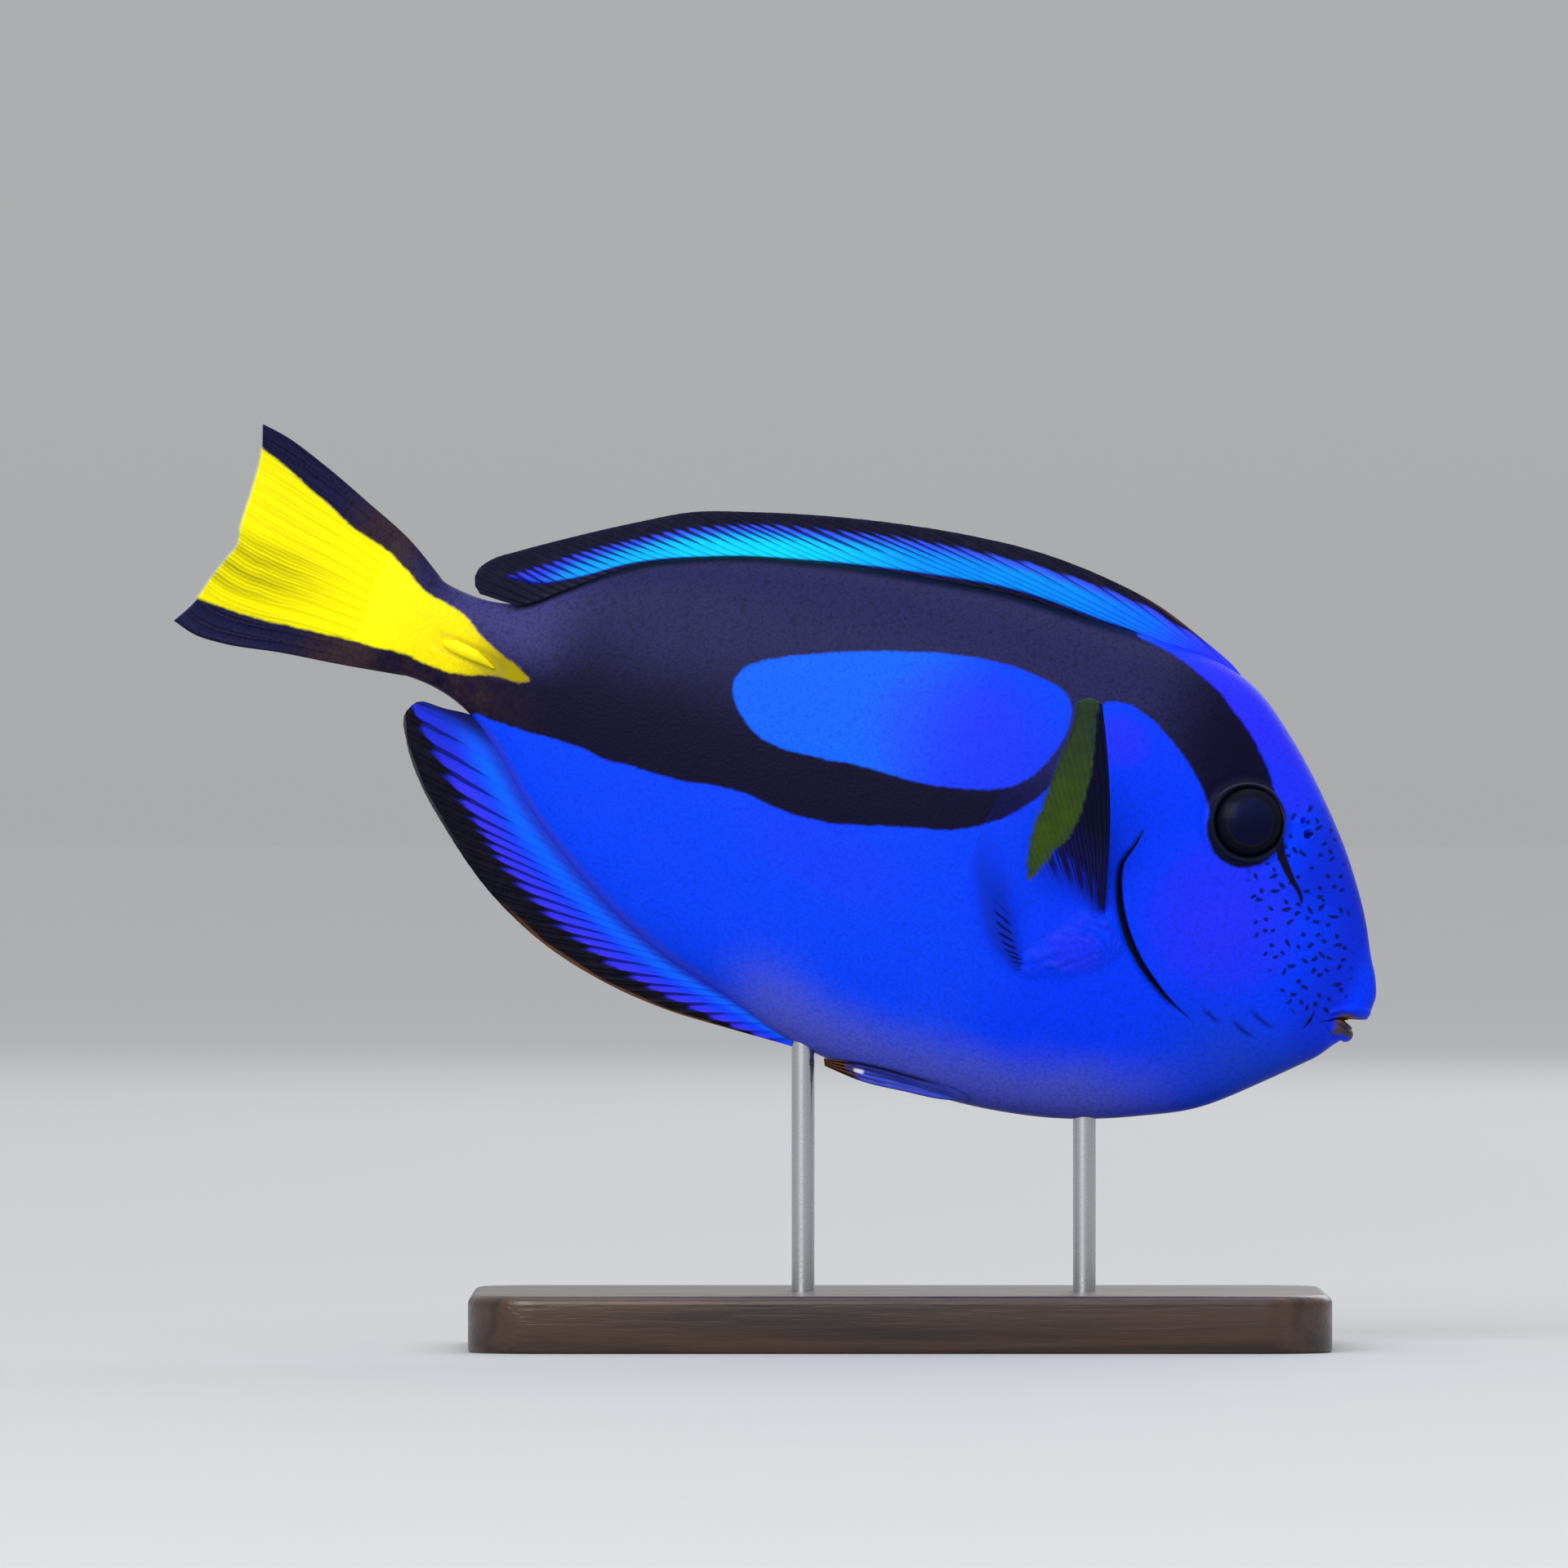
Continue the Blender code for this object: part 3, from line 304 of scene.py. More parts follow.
class StageSettings(bpy.types.PropertyGroup):
    """Floor, light and camera."""

    floor: colour("Floor", "Pale floor", 186, 188, 191)
    lens: FloatProperty(name="Lens", description="Focal length of the camera", default=500,
                        subtype="DISTANCE_CAMERA", unit="CAMERA", min=20)
    frame_width: length("Frame width", "Width of the view at the fish", 274.3, 10)
    aim_x: length("Aim, lengthwise", "Middle of the view along the fish", 1.86, -1000)
    aim_height: length("Aim height", "Middle of the view above the floor", 98.6)
    key_power: FloatProperty(name="Key light", description="Power of the soft key light",
                             subtype="POWER", unit="POWER", default=86, min=0)


def smooth(stations):
    """A smooth function through (place, value) pairs."""
    x, y = (np.array(column, float) for column in zip(*stations))
    steps = np.diff(x)
    slopes = np.diff(y) / steps
    tangents = np.empty_like(y)
    tangents[0], tangents[-1] = slopes[0], slopes[-1]
    tangents[1:-1] = (slopes[:-1] * steps[1:] + slopes[1:] * steps[:-1]) / (steps[:-1] + steps[1:])

    def value(at):
        at = np.clip(at, x[0], x[-1])
        i = np.clip(np.searchsorted(x, at, side="right") - 1, 0, len(steps) - 1)
        t = (at - x[i]) / steps[i]
        return ((1 + 2 * t) * (1 - t) ** 2 * y[i] + t * (1 - t) ** 2 * steps[i] * tangents[i]
                + t * t * (3 - 2 * t) * y[i + 1] + t * t * (t - 1) * steps[i] * tangents[i + 1])

    return value


def route(points, count):
    """Evenly spaced points along a smooth curve through the given ones."""
    points = np.array(points, float)
    along = np.concatenate([[0], np.cumsum(np.linalg.norm(np.diff(points, axis=0), axis=1))])
    columns = [smooth(list(zip(along, column))) for column in points.T]
    fine = np.array([[c(a) for c in columns] for a in np.linspace(0, along[-1], 12 * count)])
    length = np.concatenate([[0], np.cumsum(np.linalg.norm(np.diff(fine, axis=0), axis=1))])
    wanted = np.linspace(0, length[-1], count)
    return np.array([np.interp(wanted, length, column) for column in fine.T]).T


def rise(value, start, end):
    """A smooth step from 0 at start to 1 at end, which may be the lower one."""
    t = np.clip((value - start) / (end - start), 0, 1)
    return t * t * (3 - 2 * t)


BACK_AT, BELLY_AT, HALF_WIDTH_AT = smooth(BACK), smooth(BELLY), smooth(HALF_WIDTH)
WIDEST_AT, RIDGE_AT = smooth(WIDEST_LEVEL), smooth(RIDGE_HALF_WIDTH)
ABOVE_AT, BELOW_AT = smooth(FULLNESS_ABOVE), smooth(FULLNESS_BELOW)


def half_width(s, z):
    """Half width of the body at stations and heights, with a rounded back and belly."""
    level = WIDEST_AT(s)
    reach = np.where(z > level, BACK_AT(s) - level, level - BELLY_AT(s))
    fullness = np.where(z > level, ABOVE_AT(s), BELOW_AT(s))
    share = np.clip(np.abs(z - level) / reach, 0, 1)
    ridge = RIDGE_AT(s)
    swell = (1 - share ** 2) ** (fullness / 2)
    return ridge * np.sqrt(1 - share ** 14) + (HALF_WIDTH_AT(s) - ridge) * swell


def fish_to_world():
    """The turn and shift from the fish's frame, in millimetres, to the model's, in metres."""
    tilt = Matrix.Rotation(PITCH, 4, "Y")
    stations = np.linspace(0, 100, 200)
    lowest = min((tilt @ Vector((-s, 0, BELLY_AT(s)))).z for s in stations)
    height = BASE_TOP + BELLY_CLEARANCE - lowest
    return Matrix.Scale(MM, 4) @ Matrix.Translation((SNOUT_X, 0, height)) @ tilt


TO_WORLD = fish_to_world()


def eye_place():
    """Middle and outward axis of the left eye, which follows the cheek's slopes in part."""
    step = 0.5
    along = half_width(EYE_STATION + step, EYE_HEIGHT) - half_width(EYE_STATION - step, EYE_HEIGHT)
    up = half_width(EYE_STATION, EYE_HEIGHT + step) - half_width(EYE_STATION, EYE_HEIGHT - step)
    out = np.array((along * 0.75, 1, -up * 0.5))
    out /= np.linalg.norm(out)
    surface = np.array((-EYE_STATION, half_width(EYE_STATION, EYE_HEIGHT), EYE_HEIGHT))
    return surface - out * EYE_SUNK, out


def to_segments(points, s, z):
    """Distance from places seen from the side to a line, the side of it, and the share along it."""
    points = np.asarray(points, float)
    lengths = np.linalg.norm(np.diff(points, axis=0), axis=1)
    starts = np.concatenate([[0], np.cumsum(lengths)])
    best, side, along = np.full(s.shape, 1e6), np.zeros(s.shape), np.zeros(s.shape)
    for i, length in enumerate(lengths):
        (s0, z0), (ds, dz) = points[i], points[i + 1] - points[i]
        t = np.clip(((s - s0) * ds + (z - z0) * dz) / (length * length + 1e-9), 0, 1)
        off_s, off_z = s - s0 - t * ds, z - z0 - t * dz
        distance = np.hypot(off_s, off_z)
        closer = distance < best
        best = np.where(closer, distance, best)
        side = np.where(closer, np.sign(ds * off_z - dz * off_s), side)
        along = np.where(closer, (starts[i] + t * length) / starts[-1], along)
    return best, side, along


def depth_inside(outline, s, z):
    """How far places seen from the side lie inside a closed outline, negative outside."""
    outline = np.asarray(outline, float)
    outline = np.concatenate([outline, outline[:1]])
    within = np.zeros(s.shape, bool)
    for (s0, z0), (s1, z1) in zip(outline[:-1], outline[1:]):
        if z0 != z1:
            within ^= ((z0 > z) != (z1 > z)) & (s < (s1 - s0) * (z - z0) / (z1 - z0) + s0)
    distance = to_segments(outline, s, z)[0]
    return np.where(within, distance, -distance)


def closed(outline, count):
    """Points along a smooth closed curve through the given ones."""
    return route(outline + outline[:1], count)[:-1]


def black_depth(s, z):
    """Millimetres inside the black band, with the oval left out of it."""
    front, round_tail, rear = BLACK_OUTER
    outer = np.concatenate([route(front, 30), round_tail, route(rear, 130)])
    eye_disc = EYE_RING_RADIUS - np.hypot(s - EYE_STATION - 0.2, (z - EYE_HEIGHT + 0.7) * 0.9)
    oval = closed(BLUE_OVAL, 110)
    return np.minimum(np.maximum(depth_inside(outer, s, z), eye_disc), -depth_inside(oval, s, z))


def yellow_depth(s, z):
    """Millimetres inside the yellow of the tail."""
    upper, lower = YELLOW
    return depth_inside(np.concatenate([route(upper, 60), route(lower, 60)]), s, z)


def in_world(points):
    """Points of the fish's frame in the model's."""
    turn = np.array(TO_WORLD)
    return np.asarray(points) @ turn[:3, :3].T + turn[:3, 3]


def pad_place(s, z):
    """Millimetres inside the pectoral pad, and the phase of the ridges that fan out over it."""
    fan = np.arctan2(z - PAD_FAN_MIDDLE[1], s - PAD_FAN_MIDDLE[0])
    return depth_inside(closed(PAD, 60), s, z), fan * PAD_RIDGES


def quads(grid):
    """The faces between the points of a grid of point numbers."""
    corners = grid[:-1, :-1], grid[:-1, 1:], grid[1:, 1:], grid[1:, :-1]
    return np.stack(corners, -1).reshape(-1, 4)


def freed(name, form):
    """A mesh from a form in the making, which is freed."""
    mesh = bpy.data.meshes.new(name)
    form.to_mesh(mesh)
    form.free()
    return mesh


def new_piece(name, points, faces, nodes, finish, fields):
    """A piece from points and faces, which are turned outward."""
    mesh = bpy.data.meshes.new(name)
    mesh.from_pydata(points.tolist(), [], faces)
    form = bmesh.new()
    form.from_mesh(mesh)
    bmesh.ops.recalc_face_normals(form, faces=form.faces[:])
    form.to_mesh(mesh)
    form.free()
    return finish_piece(name, mesh, nodes, finish, fields)


def finish_piece(name, mesh, nodes, finish, fields=()):
    """A smooth piece that rides on the root and stands for nodes. Fields are values at its points."""
    for label, values in dict(fields).items():
        field = mesh.attributes.new(label, "FLOAT", "POINT")
        field.data.foreach_set("value", np.ascontiguousarray(values, np.float32).ravel())
    mesh.shade_smooth()
    mesh.materials.append(finish)
    piece = bpy.data.objects.new(name, mesh)
    bpy.context.scene.collection.objects.link(piece)
    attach(piece, "root")
    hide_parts(*nodes)
    return piece


class Value:
    """A socket of a material's nodes. Arithmetic on it adds Math nodes."""

    def __init__(self, finish, socket):
        self.finish, self.socket = finish, socket

    def math(self, operation, *terms):
        return self.finish.add("ShaderNodeMath", {"operation": operation}, dict(enumerate(terms)))

    def __add__(self, other):
        return self.math("ADD", self, other)

    def __sub__(self, other):
        return self.math("SUBTRACT", self, other)

    def __rsub__(self, other):
        return self.math("SUBTRACT", other, self)

    def __mul__(self, other):
        return self.math("MULTIPLY", self, other)

    def __truediv__(self, other):
        return self.math("DIVIDE", self, other)

    def __pow__(self, other):
        return self.math("POWER", self, other)

    def __abs__(self):
        return self.math("ABSOLUTE", self)

    __radd__, __rmul__ = __add__, __mul__

    def lower(self, other):
        """The lower of two values."""
        return self.math("MINIMUM", self, other)

    def higher(self, *others):
        """The highest of some values."""
        highest = self
        for other in others:
            highest = self.math("MAXIMUM", highest, other)
        return highest

    def rest(self):
        """The part after the decimal point."""
        return self.math("FRACT", self)

    def sine(self):
        return self.math("SINE", self)

    def wave(self):
        """A sine wave from 0 to 1."""
        return self.sine() * 0.5 + 0.5

    def rise(self, start, end):
        """A smooth step from 0 at start to 1 at end, which may be the lower one."""
        return self.finish.add("ShaderNodeMapRange", {"interpolation_type": "SMOOTHSTEP"},
                               {"Value": self, "From Min": start, "From Max": end})

    def out(self, name):
        """Another output of the same node."""
        return Value(self.finish, self.socket.node.outputs[name])


class Finish:
    """The nodes of one material, from its Principled shader back."""

    def __init__(self, name, **constants):
        self.material = bpy.data.materials.new(name)
        self.material.use_nodes = True
        self.tree = self.material.node_tree
        self.shader = self.tree.nodes["Principled BSDF"]
        for socket, value in constants.items():
            self.socket(socket).default_value = value
        self.place = self.add("ShaderNodeTexCoord", {}, {}, "Object")

    def socket(self, name):
        """The shader's socket for a name such as base_color."""
        return self.shader.inputs[name.replace("_", " ").title().replace("Ior", "IOR")]

    def add(self, kind, settings=(), inputs=(), output=0):
        """A node, its settings first, then the values or links of its sockets."""
        node = self.tree.nodes.new(kind)
        for setting, value in dict(settings).items():
            setattr(node, setting, value)
        for socket, value in dict(inputs).items():
            self.join(node.inputs[socket], value)
        return Value(self, node.outputs[output])

    def join(self, socket, value):
        """Links a value to a socket, or sets it there."""
        if isinstance(value, Value):
            self.tree.links.new(value.socket, socket)
        elif hasattr(value, "__len__") and len(value) == 3 and len(socket.default_value) == 4:
            socket.default_value = (*value, 1)
        else:
            socket.default_value = value

    def fields(self, *names):
        """Values that the mesh keeps at its points."""
        return [self.add("ShaderNodeAttribute", {"attribute_type": "GEOMETRY", "attribute_name": name},
                         {}, "Fac") for name in names]

    def field(self, name):
        return self.fields(name)[0]

    def mix(self, share, first, second):
        """The first colour, turned into the second by a share from 0 to 1."""
        return self.add("ShaderNodeMix", {"data_type": "RGBA"}, {0: share, 6: first, 7: second}, 2)

    def coat(self, shade, *layers):
        """A colour under layers, each a share and a colour, from the lowest up."""
        for share, layer in layers:
            shade = self.mix(share, shade, layer)
        return shade

    def noise(self, size, detail=2.0):
        """Soft noise from -1 to 1 with features of a size in millimetres."""
        inputs = {"Vector": self.place, "Scale": 1 / (size * MM), "Detail": detail}
        return self.add("ShaderNodeTexNoise", {}, inputs) * 4 - 2

    def cells(self, size):
        """Distance from the middles of cells of a size in millimetres, about 0 to 0.8."""
        inputs = {"Vector": self.place, "Scale": 1 / (size * MM), "Randomness": 0.9, "Smoothness": 0.4}
        return self.add("ShaderNodeTexVoronoi", {"feature": "SMOOTH_F1"}, inputs)

    def surface(self, relief=None, **sockets):
        """Sets what varies over the surface. Relief is a height in metres."""
        for socket, value in sockets.items():
            self.join(self.socket(socket), value)
        if relief is not None:
            bump = self.add("ShaderNodeBump", {}, {"Strength": 1, "Distance": 1, "Height": relief})
            self.join(self.socket("normal"), bump)
        return self.material


def black_tone(f, look, scales):
    """The band's black, greyer below the dorsal fin and mottled with brown on the tail."""
    station, height = f.fields("station", "height")
    top = (height + station.rise(90, 150) * 9).rise(0, 26) * station.rise(36, 66)
    top = top.higher(station.rise(146, 164) * height.rise(-9, 2), station.rise(186, 204))
    top = top * (1 - station.rise(172, 188) * 0.5)
    patchy = f.noise(1.4, 3) * 0.3 + f.noise(5, 3) * 0.3
    brown = station.rise(180, 188) * station.rise(202, 190) * (0.8 + patchy)
    below = station.rise(148, 168) * station.rise(200, 188) * height.rise(-4, -10)
    return f.coat(
        look.black,
        ((top + f.noise(16, 3) * 0.1).rise(0, 1), look.black_top),
        # Painted sheen: greyer violet on the upper side of the tail base
        (station.rise(148, 164) * station.rise(180, 172) * height.rise(-6, 3) * 0.9, srgb(62, 59, 120)),
        (brown.higher(below * (0.4 + patchy), 0).lower(0.8), srgb(58, 42, 44)),
        (((scales - 0.5) * 0.8 + f.noise(1.4, 3) * 0.1 + 0.12).higher(0), srgb(6, 4, 14)))


def yellow_tone(f, look, scales):
    """The wedge's yellow, more golden toward its tip."""
    station = f.field("station")
    golden = station.rise(190, 170) * 0.25 + (scales - 0.45) * station.rise(196, 178) * 0.35
    return f.coat(look.yellow, (golden.higher(0), srgb(200, 150, 8)),
                  (station.rise(172, 162) * 0.85, srgb(134, 120, 2)))


def edge_jitter(f):
    """How far the edges of markings waver, in millimetres."""
    return f.noise(1.0) * 0.1 + f.noise(3.5) * 0.13


def skin_finish(look):
    """Blue skin with the black band, the oval, the yellow wedge, freckles and fine scales."""
    f = Finish("tang_skin", roughness=look.roughness, **SATIN)
    station, height, fin_root_shade, lip_edge = f.fields("station", "height", "fin_root_shade", "lip_edge")
    jitter, blur = edge_jitter(f), look.edge_blur / MM
    scales, patches = f.cells(look.scale_size / MM), f.noise(14, 3)
    violet = height.rise(24, 34) * station.rise(60, 44)
    for at_station, at_height, half_length, half_height, strength in VIOLET_SPOTS:
        along, up = (station - at_station) / half_length, (height - at_height) / half_height
        spot = (along * along + up * up + patches * 0.12).rise(1, 0.1)
        violet = violet.higher(spot * strength)
    mottle = (scales - 0.42) * 0.55 + f.noise(0.9, 3) * 0.06 + 0.06
    blue = f.coat(
        look.blue,
        (station.rise(70, 54), look.front),
        (station.rise(80, 98) * height.rise(-6, 2), look.oval),
        ((violet * 0.8 + patches * 0.08).rise(0, 1), look.violet),
        (station.rise(55, 66) * height.rise(39, 41.5), srgb(12, 96, 250)),
        (station.rise(16, 8) * station.rise(3, 6) * 0.8, look.snout),
        (height.rise(-7, -20) * station.rise(40, 16) * 0.85, srgb(20, 62, 194)),
        (height.rise(6, 14) * station.rise(24, 17) * 0.85, look.snout),
        # The belly's greyer blue, partly its own colour and partly painted light against the shade
        # underneath
        ((f.field("low") + patches * 0.12).rise(0, 1), look.belly),
        (mottle.higher(0).lower(0.35), toned(look.front, 0.4)),
        # Painted shade along the roots of the dorsal and anal fins, greyer on the blue skin
        (fin_root_shade * (0.32 + f.noise(1.0, 3) * 0.2), srgb(84, 66, 110)),
        (f.field("wavy") * (f.noise(2, 3) * 0.25 + 0.12).higher(0), srgb(76, 80, 255)))
    # On the band the painted shade along the fin roots is near black
    black = f.mix(fin_root_shade, black_tone(f, look, scales), srgb(9, 7, 20))
    dark = (f.field("black") + jitter).rise(-blur, blur)
    to_eye, above_eye = station - EYE_STATION, height - EYE_HEIGHT
    raised = above_eye + 0.6
    from_eye = (to_eye * to_eye + raised * raised) ** 0.5
    # Painted highlights: two thin pale arcs on the upper rim of the eye's skin ring
    rim_highlight_arcs = abs(abs(from_eye - 6.9) - 0.42).rise(0.24, 0.04) * raised.rise(1, 5)
    # The paler grey-brown mottling over the lips is a painted highlight; the brown rim is their own
    # colour
    lips = f.coat(look.lip, ((f.noise(2.4, 2) * 0.3 + 0.35).higher(0), srgb(104, 88, 88)),
                  (lip_edge, look.lip_edge))
    body = f.coat(
        blue,
        (dark, black),
        ((f.field("yellow") + jitter * 1.3).rise(-blur, blur), yellow_tone(f, look, scales)),
        (freckles(f, station, height) * (1 - dark) * 0.9, look.freckle),
        # Painted shade in the cheek creases, along the pectoral pad's edge and ridge troughs, and in
        # the groove round the tail spine
        (f.field("crease") * 0.75, toned(look.front, 0.16)),
        ((to_eye * to_eye + above_eye * above_eye).rise(56, 42) * dark * 0.8, srgb(17, 24, 44)),
        # Painted highlight arcs on the eye ring's upper rim
        (rim_highlight_arcs * dark * 0.55, srgb(70, 56, 78)),
        (f.field("lips").higher(lip_edge * 0.8), lips),
        # Near black: the tear streak is the fish's own mark; the gill slit, mouth line, mouth corner
        # and nostrils get painted shade in their gaps
        ((f.field("ink") + jitter * 0.5).rise(-0.25, 0.2), (0.003, 0.003, 0.012)))
    depth = (1 - f.field("bare")) * look.scale_depth
    return f.surface(base_color=body, relief=(0.6 - scales) * depth + f.noise(0.35, 2) * (depth * 0.12))


def freckles(f, station, height):
    """Short dark dashes strewn over the snout, one in most cells of a loose pattern."""
    seen = f.add("ShaderNodeCombineXYZ", {}, {0: station, 1: height, 2: 0})
    settings = {"voronoi_dimensions": "2D", "feature": "F1"}
    cell = f.add("ShaderNodeTexVoronoi", settings, {"Vector": seen, "Scale": 0.46, "Randomness": 0.8})
    chance = f.add("ShaderNodeSeparateColor", {}, {0: cell.out("Color")})
    off = f.add("ShaderNodeVectorMath", {"operation": "SUBTRACT"}, {0: seen, 1: cell.out("Position")})
    angle = chance.out("Green") * 2.4 - 0.8
    turned = f.add("ShaderNodeVectorRotate", {"rotation_type": "Z_AXIS"},
                   {"Vector": off, "Angle": angle})
    across = f.add("ShaderNodeSeparateXYZ", {}, {0: turned})
    long_way = abs(across) / (chance.out("Blue") ** 2 * 0.5 + 0.42)
    short_way = abs(across.out("Y") + f.noise(1.2) * 0.16) / 0.34
    dash = (long_way * long_way + short_way * short_way + f.noise(0.9) * 0.35).rise(1.6, 0.4)
    return dash * chance.rise(0.04, 0.12) * f.field("freckled").rise(-0.6, 0.8)


def skin_base():
    """Points of the body without its details, as stations, sideways places and heights."""
    s = np.concatenate([np.linspace(start, end, rows, endpoint=False)
                        for start, end, rows in SKIN_STATIONS] + [[SKIN_END]])
    _, nose, rows_in_nose = SKIN_STATIONS[0]
    s[:rows_in_nose] = nose * (np.arange(rows_in_nose) / rows_in_nose) ** 1.7
    even = np.linspace(0, math.pi, SKIN_POINTS_DOWN_A_SIDE + 1)
    angle = 0.55 * even + 0.45 * np.arccos(np.linspace(1, -1, len(even)))
    s, angle = np.meshgrid(s, angle, indexing="ij")
    level = WIDEST_AT(s)
    reach = np.where(angle < math.pi / 2, BACK_AT(s) - level, level - BELLY_AT(s))
    z = level + reach * np.cos(angle) * snout_opening(s)[1]
    left = np.arange(s.size).reshape(s.shape)
    middle = np.zeros(s.shape, bool)
    middle[:, [0, -1]] = middle[[0, -1], :] = True
    right = left.copy()
    right[~middle] = s.size + np.arange((~middle).sum())
    points = np.stack([s, np.where(middle, 0, 1), z], -1).reshape(-1, 3)
    mirrored = points[~middle.ravel()] * (1, -1, 1)
    return np.concatenate([points, mirrored]), np.concatenate([quads(left), quads(right)[:, ::-1]])


def snout_opening(s):
    """How far the snout has rounded out sideways and upwards, each from 0 to 1."""
    share = np.clip(s / SNOUT_ROUNDING, 0, 1)
    opened = (1 - (1 - share) ** 2.5) ** (1 / 2.5)
    return opened, 0.55 + 0.45 * opened


def body_points(s, side, z):
    """Points of the plain body at stations and heights, on the left (1), right (-1) or middle."""
    wide, tall = snout_opening(s)
    level = WIDEST_AT(s)
    y = half_width(s, level + (z - level) / tall) * wide
    return np.stack([-s, side * y, z], -1)


def near_details(s, z):
    """How many times the skin's grid is split, by what is near."""
    eye = np.hypot(s - EYE_STATION, z - EYE_HEIGHT)
    slit = to_segments(route(GILL_SLIT, 24), s, z)[0]
    pad = depth_inside(PAD, s, z)
    twice = ((s < 6.5) & (z > -11.5) & (z < -1.5)) | ((eye > 5.2) & (eye < 7.9)) | (slit < 0.9)
    for crease in (*CHEEK_CREASES, MOUTH_CORNER):
        twice |= to_segments(crease, s, z)[0] < 0.7
    for station, height, radius in NOSTRILS:
        twice |= np.hypot(s - station, z - height) < 2 * radius
    once = twice | ((s < 9) & (z > -13.5) & (z < 0)) | (eye < 9) | (slit < 2) | (pad > -0.8)
    return once.astype(int) + twice


def split_skin(points, faces):
    """Splits the grid near fine details. Points are station, side and height."""
    form = bmesh.new()
    for point in points:
        form.verts.new(point)
    form.verts.ensure_lookup_table()
    for face in faces:
        form.faces.new([form.verts[i] for i in face])
    for level in (1, 2):
        form.verts.index_update()
        places = np.array([v.co for v in form.verts])
        wanted = near_details(places[:, 0], places[:, 2]) >= level
        edges = [e for e in form.edges if all(wanted[v.index] for v in e.verts)]
        bmesh.ops.subdivide_edges(form, edges=edges, cuts=1, use_grid_fill=True)
    bmesh.ops.triangulate(form, faces=[f for f in form.faces if len(f.verts) > 4])
    form.verts.index_update()
    places = np.array([v.co for v in form.verts])
    faces = [[v.index for v in f.verts] for f in form.faces]
    form.free()
    return places, faces


def lip_height(place, normal, lip):
    """How far a lip stands out of the plain face, along its normal."""
    height, radius, spread, back = lip
    half = route(LIP_ROUTE, 21) * (1, spread) + (back, 0)
    end = np.linspace(1, 0, len(half)) ** 4
    middle = np.stack([-half[:, 0], half[:, 1], height + (LIP_CORNER_HEIGHT - height) * end], 1)
    thick = radius * (1 - 0.75 * end)
    best = np.full(len(place), 1e6)
    to_middle, reach = np.zeros_like(place), np.zeros(len(place))
    for i in range(len(middle) - 1):
        step = middle[i + 1] - middle[i]
        t = np.clip((place - middle[i]) @ step / (step @ step), 0, 1)
        off = middle[i] + t[:, None] * step - place
        distance = np.linalg.norm(off, axis=1)
        closer = distance < best
        best = np.where(closer, distance, best)
        to_middle = np.where(closer[:, None], off, to_middle)
        reach = np.where(closer, thick[i] + (thick[i + 1] - thick[i]) * t, reach)
    forward = np.einsum("ij,ij->i", to_middle, normal)
    inside = reach ** 2 - best ** 2 + forward ** 2
    height = forward + np.sqrt(np.maximum(inside, 0))
    return np.where((inside > 0) & (height > 0), height, 0) * rise(inside / reach ** 2, 0, 0.5)


def shape_skin(place, normal):
    """Adds the details of the head and fin roots to points of the left side."""
    s, z = -place[:, 0], place[:, 2]
    snout = 0.4 * rise(z, 2.5, -1.5) * rise(z, -5.6, -4.6) * rise(s, 3.5, 0.3)
    jaw = 1.5 * rise(z, -5.9, -7) * rise(s, 6, 0.5)
    place = place + np.stack([snout - jaw, 0 * s, 0 * s], 1)
    lift = np.zeros(len(s))
    face = s < 12
    for lip in (UPPER_LIP, LOWER_LIP):
        lift[face] = np.maximum(lift[face], lip_height(place[face], normal[face], lip))

    slit_distance, slit_side, along = to_segments(route(GILL_SLIT, 60), s, z)
    ahead = slit_distance * -slit_side
    half = smooth(GILL_SLIT_HALF)(along)
    ends = rise(along, 0, 0.14) * rise(along, 1, 0.8)
    lift += 0.6 * np.exp(-np.maximum(ahead, 0) / 5) * rise(ahead, -0.1, 0.35) * ends
    lift -= 1.1 * np.exp(-((ahead + 0.25) / (half + 0.12)) ** 2) * rise(half, 0.08, 0.4)

    pad, ridges = pad_place(s, z)
    lift += 0.75 * rise(pad, -0.8, 3.6) + 0.08 * np.sin(ridges) * rise(pad, 0.2, 2)
    for crease in (*CHEEK_CREASES, MOUTH_CORNER):
        lift -= 0.12 * np.exp(-(to_segments(route(crease, 12), s, z)[0] / 0.3) ** 2)
    spine = to_segments([p[:2] for p in TAIL_SPINE], s, z)[0]
    lift -= 0.45 * rise(spine, 2.2, 1.0)
    for station, height, radius in NOSTRILS:
        distance = np.hypot(s - station, z - height) / radius
        lift += 0.28 * np.exp(-((distance - 1.45) / 0.4) ** 2) - 1.1 * rise(distance, 1.2, 0.6)
    place = place + normal * lift[:, None]

    middle, out = eye_place()
    off = place - middle
    radius = np.linalg.norm(off - (off @ out)[:, None] * out, axis=1)
    ring = 0.66 * np.exp(-((radius - EYE_RING_RADIUS) / 0.52) ** 2)
    ring -= 0.22 * np.exp(-((radius - 8.3) / 0.5) ** 2)
    near = rise(np.hypot(s - EYE_STATION, z - EYE_HEIGHT), 12, 10)
    place = place + (ring - 2.6 * rise(radius, 6.3, 5.7))[:, None] * out * near[:, None]

    distance = to_segments(route(MOUTH_LINE, 30), s, z)[0]
    groove = rise(distance / smooth(MOUTH_HALF_OPEN)(s), 1.1, 0.35) * (s < 8)
    inward = (groove * smooth(MOUTH_DEPTH)(s))[:, None]
    return place + (np.array(MOUTH_INSIDE) - place) * inward


